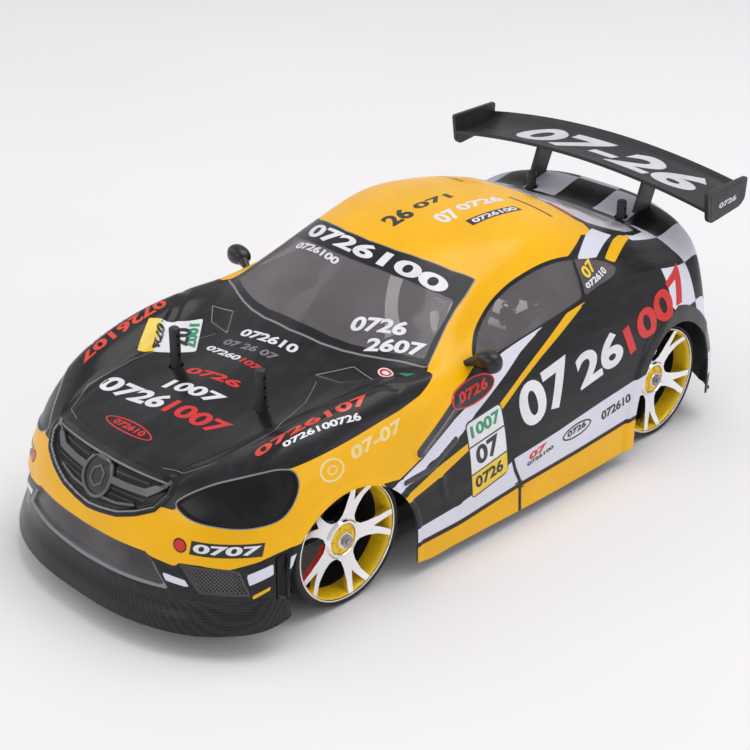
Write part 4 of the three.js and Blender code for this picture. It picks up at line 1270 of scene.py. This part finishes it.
def build_mirror(name, side):
    """An egg-shaped housing on a tapering neck, with a flat back that holds the glass."""
    low, high = box_mm("mirror_" + name)
    outer = max(abs(low[0]), abs(high[0]))
    centre = np.array([side * (outer - 8.4), (low[1] + high[1]) / 2, high[2] - 6.4])
    rows, around = 18, 32
    points, faces = [], []
    for i in range(rows + 1):
        polar = math.pi * i / rows
        for k in range(around):
            turn = 2 * math.pi * k / around
            ball = np.array([math.sin(polar) * math.cos(turn), -math.cos(polar),
                             math.sin(polar) * math.sin(turn)])
            ball = np.sign(ball) * np.abs(ball) ** 0.88
            spot = ball * (8.2, 5.8, 5.8)
            spot[2] *= 1 + 0.16 * ball[0] * side
            spot[1] = min(spot[1], 3.2)
            points.append(centre + spot)
    for i in range(rows):
        faces += [(i * around + k, i * around + (k + 1) % around, (i + 1) * around + (k + 1) % around,
                   (i + 1) * around + k) for k in range(around)]
    mirror = Parts().add(points, faces)
    root = np.array([side * 87.5, centre[1] - 4.5, 104.2])
    knee = centre + np.array([-side * 5.2, -1.4, -1.6])
    neck = [root, (root + knee) / 2 + (0, 0, 0.8), knee, centre + (-side * 1, -0.4, -0.4)]
    mirror.add(*tube(neck, [1.8, 2.6, 3.6, 4.4], 16))
    glass = rounded([(-6.0, -3.4), (6.2, -4.3), (6.6, 4.0), (-5.8, 3.4)], 2.6)
    glass = [(centre[0] + a * side, centre[2] + b) for a, b in glass]
    mirror.add(*slab(glass, "y", centre[1] + 2.9, centre[1] + 3.5), 1)
    piece = mirror.piece("door_mirror_" + name, [GLOSS_BLACK, MIRROR_GLASS], "shell", "gloss_black_plastic")
    sharpen(piece, 50)
    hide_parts("mirror_" + name)


def bore(piece, points, faces):
    """Cuts a hole through a piece, given the solid to take away."""
    mesh = bpy.data.meshes.new("cutter")
    mesh.from_pydata([tuple(p) for p in np.asarray(points, float) * MM], [], faces)
    cutter = bpy.data.objects.new("cutter", mesh)
    bpy.context.scene.collection.objects.link(cutter)
    cut = piece.modifiers.new("cut", "BOOLEAN")
    cut.operation, cut.object, cut.solver = "DIFFERENCE", outward_normals(cutter), "EXACT"
    evaluated = piece.evaluated_get(bpy.context.evaluated_depsgraph_get())
    result = bpy.data.meshes.new_from_object(evaluated)
    piece.modifiers.clear()
    piece.data = result
    bpy.data.objects.remove(cutter)


def build_post(end, name):
    """A post with a row of holes for the body clip, on a squared foot."""
    node = f"body_post_{end}_{name}"
    low, high = box_mm(node)
    x, y = (low[0] + high[0]) / 2, high[1] - POST_RADIUS
    rod = [(0, low[2] + 1), (POST_RADIUS, low[2] + 1), (POST_RADIUS, high[2] - 1.1), (2.7, high[2] - 0.4),
           (2.1, high[2]), (0, high[2])]
    column = Parts().add(*capped(rod, 28, (x, y, 0), "z"))
    foot = [(x - POST_FOOT, low[1]), (x + POST_FOOT, low[1]), (x + POST_FOOT, y), (x - POST_FOOT, y)]
    foot = rounded(foot, 0.8)
    column.add(*slab(foot, "z", low[2], low[2] + 8))
    piece = column.piece("post_" + end + "_" + name, [SATIN_BLACK], "chassis", "black_nylon")
    holes = Parts()
    for drop in (4.5, 10.0, 15.5):
        z = high[2] - drop
        holes.add(*tube([(x - 6, y, z), (x + 6, y, z)], 0.9, 12))
    bore(piece, holes.points, holes.faces)
    sharpen(piece, 30)
    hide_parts(node)


# ---------------------------------------------------------------- dampers and the other CAD nodes

DAMPER_TOP = (31.0, 78.0)      # x and z of a damper's two ends
DAMPER_EYE = (46.0, 24.5)
COIL_TURNS = 6.5
COIL_STEPS = 18                # points of the coil in one turn
COIL_RADIUS = 4.8


def stretched_between(start, end):
    """Moves what is drawn up the z axis from 0 to 1 so that it runs from start to end."""
    start, end = np.array(start, float), np.array(end, float)
    length = np.linalg.norm(end - start)
    z = (end - start) / length
    x = np.cross((0, 1, 0), z)
    x /= np.linalg.norm(x)
    turn = np.column_stack([x, np.cross(z, x), z])
    return lambda points: start + (points * (1, 1, length)) @ turn.T


def build_damper(tag, side):
    """Body on the chassis, rod on the arm, and a coil spring drawn between the two."""
    low, high = box_mm("shock_" + tag)
    y = (low[1] + high[1]) / 2
    top, eye = (side * DAMPER_TOP[0], y, DAMPER_TOP[1]), (side * DAMPER_EYE[0], y, DAMPER_EYE[1])
    place = stretched_between(top, eye)
    # profiles, as (radius, share of the way from top to eye)
    can = [(0, 0.03), (3.2, 0.03), (4.3, 0.06), (4.3, 0.12), (3.4, 0.13), (3.4, 0.36), (3.4, 0.46),
           (3.0, 0.48), (3.0, 0.5), (0, 0.5)]
    stem = [(0, 0.56), (0.9, 0.56), (0.9, 0.9), (0, 0.9)]
    seat = [(0, 0.87), (5.2, 0.87), (5.2, 0.9), (2.2, 0.92), (1.8, 0.98), (0, 0.98)]
    eyes = [[(inner, -2.8), (outer, -2.8), (outer, 2.8), (inner, 2.8)]
            for inner, outer in ((1.6, 3.4), (1.4, 3.1))]
    body = Parts().add(*capped(can, 28, axis="z")).moved(place)
    body.add(*turned(eyes[0], 24, top, "y"))
    upper = body.piece("damper_body_" + tag, [GLOSS_BLACK], "chassis", "red_plastic")
    sharpen(upper, 35)
    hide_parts("shock_" + tag)

    coil = []
    for k in range(round(COIL_TURNS * COIL_STEPS) + 1):
        angle, share = 2 * math.pi * k / COIL_STEPS, k / (COIL_TURNS * COIL_STEPS)
        coil.append((COIL_RADIUS * math.cos(angle), COIL_RADIUS * math.sin(angle), 0.14 + 0.71 * share))
    spring = Parts().add(*tube(place(np.array(coil)), 0.6, 8))
    spring = spring.piece("damper_spring_" + tag, [CALIPER_RED], None, "red_plastic")
    upper_end, lower_end = place(np.array([(0, 0, 0.14), (0, 0, 0.86)])) * MM
    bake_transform(spring)

    lower = Parts().add(*capped(stem, 12, axis="z"), 0)
    lower.add(*capped(seat, 28, axis="z"), 1).moved(place)
    lower.add(*turned(eyes[1], 24, eye, "y"), 1)
    rod = lower.piece("damper_rod_" + tag, [STEEL, GLOSS_BLACK], "arm_" + tag, "red_plastic")
    sharpen(rod, 35)


NODE_FINISHES = {
    "chassis_plate": NYLON, "motor_mount": ALUMINIUM, "foam_bumper": FOAM, "front_gearbox": NYLON,
    "rear_gearbox": NYLON, "front_shock_tower": NYLON, "rear_shock_tower": NYLON, "battery_pack": SHRINK_WRAP,
    "motor": MOTOR_CAN, "speed_controller": CIRCUIT, "receiver": WHITE_PLASTIC, "steering_servo": SATIN_BLACK,
    "spur_gear": WHITE_PLASTIC, "centre_shaft": STEEL, "pinion_gear": STEEL, "steering_link": SATIN_BLACK,
    "lower_arm": NYLON, "hub_carrier": NYLON, "upper_link": STEEL, "drive_shaft": STEEL,
    "steering_knuckle": NYLON,
}


def dress_cad_nodes():
    """Gives each CAD node that stays in view its finish."""
    for name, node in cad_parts.items():
        for start, material in NODE_FINISHES.items():
            if name.startswith(start):
                node.data.materials.clear()
                node.data.materials.append(material)


# ---------------------------------------------------------------- printed marks and raised trim on the skin

CORNER_START = 184     # how far out along x and y the rays towards the nose's corners start
# Start and heading of the ray that finds the skin, for a place (across, up) in each view.
RAYS = {
    "left": lambda a, b: ((140, a, b), (-1, 0, 0)),
    "right": lambda a, b: ((-140, -a, b), (1, 0, 0)),
    "top": lambda a, b: ((a, b, 200), (0, 0, -1)),
    "front": lambda a, b: ((a, -260, b), (0, 1, 0)),
    "corner_left": lambda a, b: ((a * DIAGONAL + CORNER_START, a * DIAGONAL - CORNER_START, b),
                                 (-DIAGONAL, DIAGONAL, 0)),
    "corner_right": lambda a, b: ((a * DIAGONAL - CORNER_START, -a * DIAGONAL - CORNER_START, b),
                                  (DIAGONAL, DIAGONAL, 0)),
}
OTHER_SIDE = {"left": "right", "corner_left": "corner_right", "top": "top", "front": "front"}
glyph_store = {}


def glyph_loops(text):
    """Outlines of a run of digits, scaled so that it is 1 wide and its digits 1 high."""
    if text not in glyph_store:
        curve = bpy.data.curves.new("digits", "FONT")
        curve.body, curve.resolution_u, curve.offset = text, 6, 0.035
        holder = bpy.data.objects.new("digits", curve)
        mesh = holder.to_mesh()
        sides = {(a, b) for face in mesh.polygons
                 for a, b in zip(face.vertices, list(face.vertices[1:]) + [face.vertices[0]])}
        after = {a: b for a, b in sides if (b, a) not in sides}
        loops = []
        while after:
            first, current = next(iter(after.items()))
            loop = [first]
            del after[first]
            while current != first:
                loop.append(current)
                current = after.pop(current)
            loops.append(np.array([mesh.vertices[k].co[:2] for k in loop]))
        holder.to_mesh_clear()
        bpy.data.objects.remove(holder)
        bpy.data.curves.remove(curve)
        spots = np.concatenate(loops)
        low, high = spots.min(axis=0), spots.max(axis=0)
        glyph_store[text] = [(loop - low) / (high - low) for loop in loops]
    return glyph_store[text]


class Livery:
    """Collects the marks of each colour, laid on the skin along straight rays from one side."""

    def __init__(self):
        self.layers = {}

    def lay(self, layer, view, loops, lift=0.12, spacing=2.6, depth=0.25):
        """Adds the area inside the loops, as a thin solid that stands out of the skin by lift."""
        flat, faces, rim = fill_outline(loops, spacing)
        top, bottom = [], []
        for a, b in flat:
            origin, heading = RAYS[view](a, b)
            spot, normal, _, _ = surface.ray_cast(Vector(origin), Vector(heading))
            if spot is None:
                spot, normal, _, _ = surface.find_nearest(Vector(origin) + 180 * Vector(heading))
            normal = normal if normal.dot(Vector(heading)) < 0 else -normal
            top.append(spot + normal * lift)
            bottom.append(spot - normal * depth)
        solid = thin_solid(np.array(top), np.array(bottom), faces, rim)
        self.layers.setdefault(layer, Parts()).add(*solid)

    def both(self, layer, view, loops, **settings):
        """The same shapes on both sides of the car."""
        self.lay(layer, view, loops, **settings)
        mirrored = [[(-a, b) for a, b in reversed(list(loop))] for loop in loops]
        self.lay(layer, OTHER_SIDE[view], mirrored, **settings)

    def row(self, layer, view, loops, start, end, height, lean=0.0, sag=0.0, **settings):
        """A run of marks that reads from start to end along its base line."""
        start, end = np.array(start, float), np.array(end, float)
        heading = (end - start) / np.linalg.norm(end - start)
        up = np.array([-heading[1], heading[0]])
        placed = []
        for loop in loops:
            share, rise = loop[:, :1], loop[:, 1:]
            curve = sag * (2 * share - 1) ** 2
            spot = start + (end - start) * share + up * (rise * height + curve)
            placed.append(spot + heading * rise * lean)
        self.lay(layer, view, placed, **settings)

    def row_both(self, layer, view, loops, start, end, height, **settings):
        """A run of marks on both sides of the car, each reading the right way round."""
        self.row(layer, view, loops, start, end, height, **settings)
        start, end = (-end[0], end[1]), (-start[0], start[1])
        self.row(layer, OTHER_SIDE[view], loops, start, end, height, **settings)

    def pieces(self, finishes):
        """One piece for each colour."""
        for layer, parts in self.layers.items():
            piece = link_mesh("livery_" + layer, parts.points, parts.faces, [finishes[layer]], "shell",
                              parts.index)
            sharpen(piece, 40)


def lay_digits(place, view, rows):
    """Lays runs of digits, each given as (layer, digits, start, end, height, further settings)."""
    for layer, digits, start, end, height, settings in rows:
        place(layer, view, glyph_loops(digits), start, end, height, **settings)


def race_numbers(livery):
    """The big numbers along the flanks."""
    lay_digits(livery.row_both, "left", [
        ("white", "07", (12, 56.4), (55, 63.7), 25.5, {}),
        ("white", "26", (60, 64.6), (99, 71.0), 20, {}),
        ("red", "1007", (104, 71.4), (168, 90.6), 17, {"lift": 0.3, "spacing": 1.3}),
    ])


def number_plate(livery):
    """The white plate on the door, with its yellow foot, two lines and three numbers."""
    foot = [PLATE[3], blend_points(PLATE[3], PLATE[0], 0.3), blend_points(PLATE[2], PLATE[1], 0.3), PLATE[2]]
    livery.both("black", "left", [rounded(grown(PLATE, 0.9), 3.5)], lift=0.1)
    livery.both("white", "left", [rounded(PLATE, 3.0)], lift=0.16)
    livery.both("yellow", "left", [rounded(foot, 1.5)], lift=0.22)
    for share in (0.3, 0.68):
        a, b = blend_points(PLATE[3], PLATE[0], share), blend_points(PLATE[2], PLATE[1], share)
        livery.both("black", "left", [[a, b, (b[0], b[1] + 0.8), (a[0], a[1] + 0.8)]], lift=0.26)
    lay_digits(livery.row_both, "left", [
        ("black", "07", (-25, 50.0), (-7.5, 53.0), 11.5, {"lift": 0.28}),
        ("green", "1007", (-28.6, 67.3), (-5.6, 70.0), 7.0, {"lift": 0.28}),
        ("black", "0726", (-25.8, 36.4), (-4.6, 40.2), 7.6, {"lift": 0.28}),
    ])


def badge_marks(livery):
    """The red oval on the front of the door, and the pale rings and number ahead of it."""
    for view, flip in SIDES:
        centre, ring = (-23.5 * flip, 91.9), (-123 * flip, 83.8)
        border = [ellipse(centre, half, tilt=3 * flip) for half in ((18, 6.7), (17.1, 5.9))]
        livery.lay("red", view, border, lift=0.34)
        livery.lay("black", view, [ellipse(centre, (17.5, 6.3), tilt=3 * flip)], lift=0.2, spacing=1.3)
        livery.lay("pale", view, [ellipse(ring, (7.4, 5.8)), ellipse(ring, (6.2, 4.7))])
        livery.lay("pale", view, [ellipse(ring, (3.2, 2.4)), ellipse(ring, (2.2, 1.5))])
    lay_digits(livery.row_both, "left", [
        ("red", "0726", (-35.5, 88.6), (-11.5, 90.0), 5.6, {"lift": 0.44, "lean": 1.0, "spacing": 1.3}),
        ("pale", "07-07", (-110.5, 84.2), (-76, 89), 6.6, {"lean": 1.2}),
    ])


def sill_marks(livery):
    """The small marks low on the flanks, and those on the rear pillars."""
    lay_digits(livery.row_both, "left", [
        ("red", "07", (16, 37.4), (30, 39.6), 4.2, {"lift": 0.2, "lean": 1.2}),
        ("black", "0726100", (15, 34.2), (37, 37.4), 2.4, {}),
    ])
    for view, flip in SIDES:
        ring = [ellipse((57 * flip, 41.3), half, tilt=5 * flip) for half in ((12.4, 4.4), (11.2, 3.4))]
        livery.lay("black", view, ring)
    lay_digits(livery.row_both, "left", [
        ("black", "0726", (49, 39.0), (65, 40.8), 3.9, {}),
        ("black", "072610", (79, 38.8), (105, 42.2), 6.0, {}),
        ("yellow", "07", (85, 118.6), (98, 121), 4.6, {"lift": 0.16}),
        ("white", "072610", (81, 115.2), (103, 118.0), 2.4, {"lift": 0.16}),
    ])


def blend_points(a, b, share):
    """The point a share of the way from a to b."""
    return (a[0] + (b[0] - a[0]) * share, a[1] + (b[1] - a[1]) * share)


def grown(outline, amount):
    """An outline pushed out from its middle by about the given amount."""
    corners = np.array(outline, float)
    middle = corners.mean(axis=0)
    return middle + (corners - middle) * (1 + amount / np.linalg.norm(corners - middle, axis=1).mean() * 1.4)


def bonnet_marks(livery):
    """The numbers and the small plate on the bonnet."""
    lay_digits(livery.row, "top", [
        ("white", "0726", (-52, -158.6), (-7, -152.8), 13.5, {"lean": 1.5}),
        ("red", "1007", (-4, -152.4), (35, -147.4), 12, {"lean": 1.5}),
    ])
    livery.lay("red", "top", [ellipse((-5.3, -171.5), half) for half in ((18.5, 4.6), (17.3, 3.7))])
    lay_digits(livery.row, "top", [("red", "072610", (-17, -173.6), (7, -173.2), 4.2, {})])

    plate = [(-61, -123), (-36.7, -101.4), (-58.4, -78.4), (-73.3, -104.6)]
    foot = [(-61, -123), (-54.2, -117.2), (-69.9, -98.6), (-73.3, -104.6)]
    livery.lay("white", "top", [rounded(plate, 2.0)], lift=0.15, spacing=1.6)
    livery.lay("yellow", "top", [foot], lift=0.4, spacing=1.6)
    lay_digits(livery.row, "top", [
        ("black", "07", (-62.4, -94.6), (-52.2, -107), 9.4, {"lift": 0.6, "spacing": 1.6}),
        ("green", "1007", (-59.8, -87), (-44.4, -103.2), 5.8, {"lift": 0.6, "spacing": 1.6}),
        ("black", "0726", (-69.2, -102.2), (-57.6, -115.8), 4.4, {"lift": 0.8, "spacing": 1.6}),
        ("white", "072610", (-27, -79.4), (15, -76.6), 5.8, {}),
        ("pale_grey", "07 26 07", (-30, -89), (10, -86.6), 5.0, {}),
        ("white", "07260", (-35, -96.8), (-8, -97.6), 4.4, {"lean": 1.0}),
        ("red", "107", (-6, -97.6), (8.5, -98.0), 4.4, {"lean": 1.0}),
    ])
    lay_digits(livery.row, "top", [
        ("red", "0726", (-26, -119), (12, -114.6), 6.0, {"lean": 1.0}),
        ("white", "1007", (-24, -136), (14, -131), 9.0, {"lean": 1.5}),
        ("orange_red", "0726107", (73.6, -153), (86.6, -89), 6.0, {"lift": 0.16, "lean": 1.0}),
        ("white", "0726100726", (79.8, -141), (89.6, -98), 2.8, {}),
        ("orange_red", "0726107", (-82.5, -88), (-75.6, -152), 6.0, {"lift": 0.16, "lean": 1.0}),
        ("white", "0726100726", (-86.7, -98), (-81.7, -141), 2.8, {}),
    ])


def screen_marks(livery):
    """The curved row over the windscreen, the numbers in its lower corners and the seal."""
    lay_digits(livery.row, "top", [
        ("white", "0726100", (-50, -17.4), (57, -17.4), 9.6, {"sag": 9.6, "spacing": 2.2}),
        ("white", "0726100", (-49, -17.5), (-6, -26.2), 4.0, {}),
        ("white", "0726", (31, -51.5), (58, -36.5), 8.0, {"lean": 1.5, "spacing": 2.0}),
        ("white", "2607", (46.5, -55.4), (73.0, -38.4), 7.6, {"lean": 1.5, "spacing": 2.0}),
    ])
    seal = (66.6, -58.6)
    livery.lay("white", "top", [ellipse(seal, (4.8, 3.2))], lift=0.16)
    livery.lay("red", "top", [ellipse(seal, (3.9, 2.5)), ellipse(seal, (2.2, 1.3))], lift=0.24)
    livery.lay("green", "top", [[(72.2, -54.6), (79.4, -56.2), (80.0, -50.6)]], lift=0.16)


def roof_marks(livery):
    """The numbers and the black bar on the roof."""
    lay_digits(livery.row, "top", [
        ("black", "26", (3, 11), (4, 28), 13, {}),
        ("white", "07", (24, 30), (24.8, 44.5), 12, {}),
        ("black", "071", (0.6, 33), (2.6, 60), 7.2, {}),
        ("white", "0726", (20.4, 48), (22.6, 82), 8.0, {}),
    ])
    livery.lay("black", "top", [[(29.6, 40.4), (35.8, 40.2), (36.4, 81), (30.6, 79.6)]])
    lay_digits(livery.row, "top", [("white", "0726100", (35, 43), (35.6, 78.6), 4.2, {"lift": 0.2})])


def rear_edge_marks(livery):
    """Small marks along the strip between the roof and the rear window."""
    for _, flip in SIDES:
        box = [(30 * flip, 112.4), (46 * flip, 113.6), (47 * flip, 116), (30 * flip, 115)]
        livery.lay("red", "top", [rounded(box, 0.6)], lift=0.2)
    lay_digits(livery.row, "top", [
        ("white", "0726100", (-27, 112.4), (-1, 112.4), 3.0, {"lift": 0.2}),
        ("white", "0726100", (1, 112.4), (27, 112.4), 3.0, {"lift": 0.2}),
    ])


def bumper_marks(livery):
    """A red disc and a black box with a number, on both corners of the bumper."""
    for side, flip in SIDES:
        centre = (-93.4 * flip, 57.1)
        livery.lay("black", "corner_" + side, [ellipse(centre, (3.4, 3.4))])
        livery.lay("red", "corner_" + side, [ellipse(centre, (2.7, 2.7))], lift=0.2)
    box = np.array([(0, 0), (1, 0), (1.03, 1), (0.03, 1)])
    livery.row_both("black", "corner_left", [box], (-88.8, 53.8), (-53.4, 52.2), 6.6)
    number = ("white", "0707", (-87.4, 55.0), (-55, 53.4), 4.4, {"lift": 0.2, "lean": 1.2})
    lay_digits(livery.row_both, "corner_left", [number])


def grille_marks(livery):
    """The grille's round badge, its two fins and its slats."""
    ring = [ellipse(BADGE, (11.2, 10.2), 56), ellipse(BADGE, (9.7, 8.7), 56)]
    livery.lay("trim", "front", ring, lift=1.4, depth=2.4)
    livery.lay("dark", "front", [ellipse(BADGE, (9.9, 8.9), 56)], lift=0.5, depth=2.4)
    hexagon_loops = [ellipse(BADGE, (size, size * 0.92), 6, 30) for size in (5.6, 4.5)]
    livery.lay("trim", "front", hexagon_loops, lift=0.9, depth=1.0)
    upper_fin = [(10.6, 71.4), (24, 71.8), (36, 72.4), (41.4, 76), (46.6, 80.6), (46, 82.2), (38.6, 78),
                 (33, 75.2), (22, 74.6), (10.9, 74.4)]
    lower_fin = [(6.2, 62.8), (18, 63.6), (30.4, 66.4), (29.6, 67.4), (17.6, 64.8), (6.4, 64)]
    for fin, lift in ((upper_fin, 1.3), (lower_fin, 0.9)):
        livery.both("trim", "front", [fin], lift=lift, depth=2.0)
    for low, reach in ((66.8, 29), (69.4, 35), (76.6, 34), (79.2, 40)):
        slat = [(11.4, low), (reach, low + 0.6), (reach, low + 1.3), (11.4, low + 0.7)]
        livery.both("dark", "front", [slat], lift=0.5, depth=1.6)


def wing_marks():
    """Numbers on the upper face of the blade and on the outer faces of the end plates."""
    low, high = box_mm("rear_wing")
    blade = bpy.data.objects["wing_blade"].data
    corners = [tuple(v.co / MM) for v in blade.vertices]
    wing = BVHTree.FromPolygons(corners, [tuple(face.vertices) for face in blade.polygons])
    number = Parts()
    start, length, height, lean = (-58, low[1] + 10.5), 138, 24, 11
    placed = [np.column_stack([start[0] + length * loop[:, 0] + lean * (loop[:, 1] - 0.5),
                               start[1] + height * loop[:, 1]]) for loop in glyph_loops("07-26")]
    flat, faces, rim = fill_outline(placed, 3.0)
    hits = [wing.ray_cast(Vector((a, b, 300)), Vector((0, 0, -1)))[0] for a, b in flat]
    top = np.array([spot + Vector((0, 0, 0.12)) for spot in hits])
    number.add(*thin_solid(top, top - (0, 0, 0.4), faces, rim))
    for _, side in SIDES:
        start, reach = (low[1] + 12, 17) if side > 0 else (low[1] + 29, -17)
        placed = [np.array([(start + reach * a, low[2] + 7.6 + 1.5 * a + 3.4 * b) for a, b in loop])
                  for loop in glyph_loops("0726")]
        flat, faces, rim = fill_outline(placed, 3.0)
        inner, outer = (np.column_stack([np.full(len(flat), side * (high[0] + lift)), flat])
                        for lift in (-0.1, 0.38))
        number.add(*thin_solid(outer, inner, faces, rim))
    grey = livery_shader("wing_print", rgb(214, 214, 218))
    piece = number.piece("wing_number", [grey], "shell", "satin_black_plastic")
    sharpen(piece, 40)


def print_livery():
    """All the marks on the shell, one piece for each colour."""
    finishes = {
        "white": livery_shader("white_print", rgb(232, 232, 238)),
        "red": livery_shader("red_print", rgb(214, 30, 26)),
        "orange_red": livery_shader("orange_red_print", rgb(226, 66, 40)),
        "black": livery_shader("black_print", rgb(24, 23, 25)),
        "yellow": livery_shader("yellow_print", rgb(244, 206, 40)),
        "green": livery_shader("green_print", rgb(38, 150, 100)),
        "pale": livery_shader("pale_print", rgb(240, 220, 150)),
        "pale_grey": livery_shader("grey_print", rgb(120, 118, 122)),
        "trim": livery_shader("grille_trim", rgb(96, 93, 96)),
        "dark": livery_shader("grille_dark", rgb(34, 33, 35)),
    }
    livery = Livery()
    for draw in (race_numbers, number_plate, badge_marks, sill_marks, bonnet_marks, screen_marks, roof_marks,
                 rear_edge_marks, bumper_marks, grille_marks):
        draw(livery)
    livery.pieces(finishes)


build_wheels()
build_wing()
for name, side in SIDES:
    build_mirror(name, side)
    for end in ("front", "rear"):
        build_post(end, name)
        build_damper(f"{end}_{name}", side)
print_livery()
wing_marks()
dress_cad_nodes()


# ---------------------------------------------------------------- camera, light and floor


CAMERA_PLACE = (0.62733, -0.61626, 0.50218)
CAMERA_TURN = 45.555   # degrees around the vertical
CAMERA_DOWN = 26.76    # degrees below the horizon
CAMERA_LENS = 81.82
CAR_MIDDLE = Vector((0, 0, 0.05))
SKY = (0.93, 0.92, 0.94, 1)
LIGHTS = {             # place, size and power
    "key": ((0.3, 0.5, 1.8), (1.5, 1.5), 17),
    "fill": ((-1.5, -0.9, 1.2), (1.6, 1.2), 5),
    "front": ((-0.3, -2.2, 1.0), (1.6, 0.9), 6),
    "side": ((2.2, 0.7, 0.8), (1.6, 0.9), 5),
}
FLOOR_HALF = 20.0


def look():
    """The photo's camera."""
    camera = bpy.data.objects.new("camera", bpy.data.cameras.new("camera"))
    bpy.context.scene.collection.objects.link(camera)
    camera.data.sensor_width = 36
    camera.data.lens = CAMERA_LENS
    turn = Matrix.Rotation(math.radians(CAMERA_TURN), 3, "Z")
    tilt = Matrix.Rotation(math.radians(90 - CAMERA_DOWN), 3, "X")
    camera.rotation_euler = (turn @ tilt).to_euler()
    camera.location = CAMERA_PLACE
    bpy.context.scene.camera = camera


def area_light(name, place, size, power):
    """A soft rectangular light that points at the car."""
    light = bpy.data.objects.new(name, bpy.data.lights.new(name, "AREA"))
    bpy.context.scene.collection.objects.link(light)
    light.data.shape = "RECTANGLE"
    light.data.size, light.data.size_y = size
    light.data.energy = power
    light.location = place
    light.rotation_euler = (CAR_MIDDLE - Vector(place)).to_track_quat("-Z", "Y").to_euler()


def studio():
    """A bright plain room with soft lights, and a floor of white paper."""
    world = bpy.data.worlds.new("studio")
    bpy.context.scene.world = world
    world.use_nodes = True
    background = world.node_tree.nodes["Background"]
    background.inputs["Color"].default_value = SKY
    background.inputs["Strength"].default_value = 0.62
    bpy.context.scene.view_settings.view_transform = "Standard"
    for name, (place, size, power) in LIGHTS.items():
        area_light(name, place, size, power)
    floor = Shader("floor_paper")
    fibre = floor.noise(1.2, 3.0)
    cloud = floor.ramp(floor.noise(300, 2.0), 0.3, 0.7)
    tone = floor.mix(cloud, (0.88, 0.87, 0.885, 1), (0.9, 0.89, 0.9, 1))
    floor.set(Base_Color=tone, Roughness=0.75, Normal=floor.bump(fibre, 0.02, 0.3))
    corners = [(a * FLOOR_HALF, b * FLOOR_HALF, 0) for a, b in ((-1, -1), (1, -1), (1, 1), (-1, 1))]
    mesh = bpy.data.meshes.new("floor")
    mesh.from_pydata(corners, [], [(0, 1, 2, 3)])
    mesh.materials.append(floor.material)
    ground = bpy.data.objects.new("floor", mesh)
    bpy.context.scene.collection.objects.link(ground)


look()
studio()
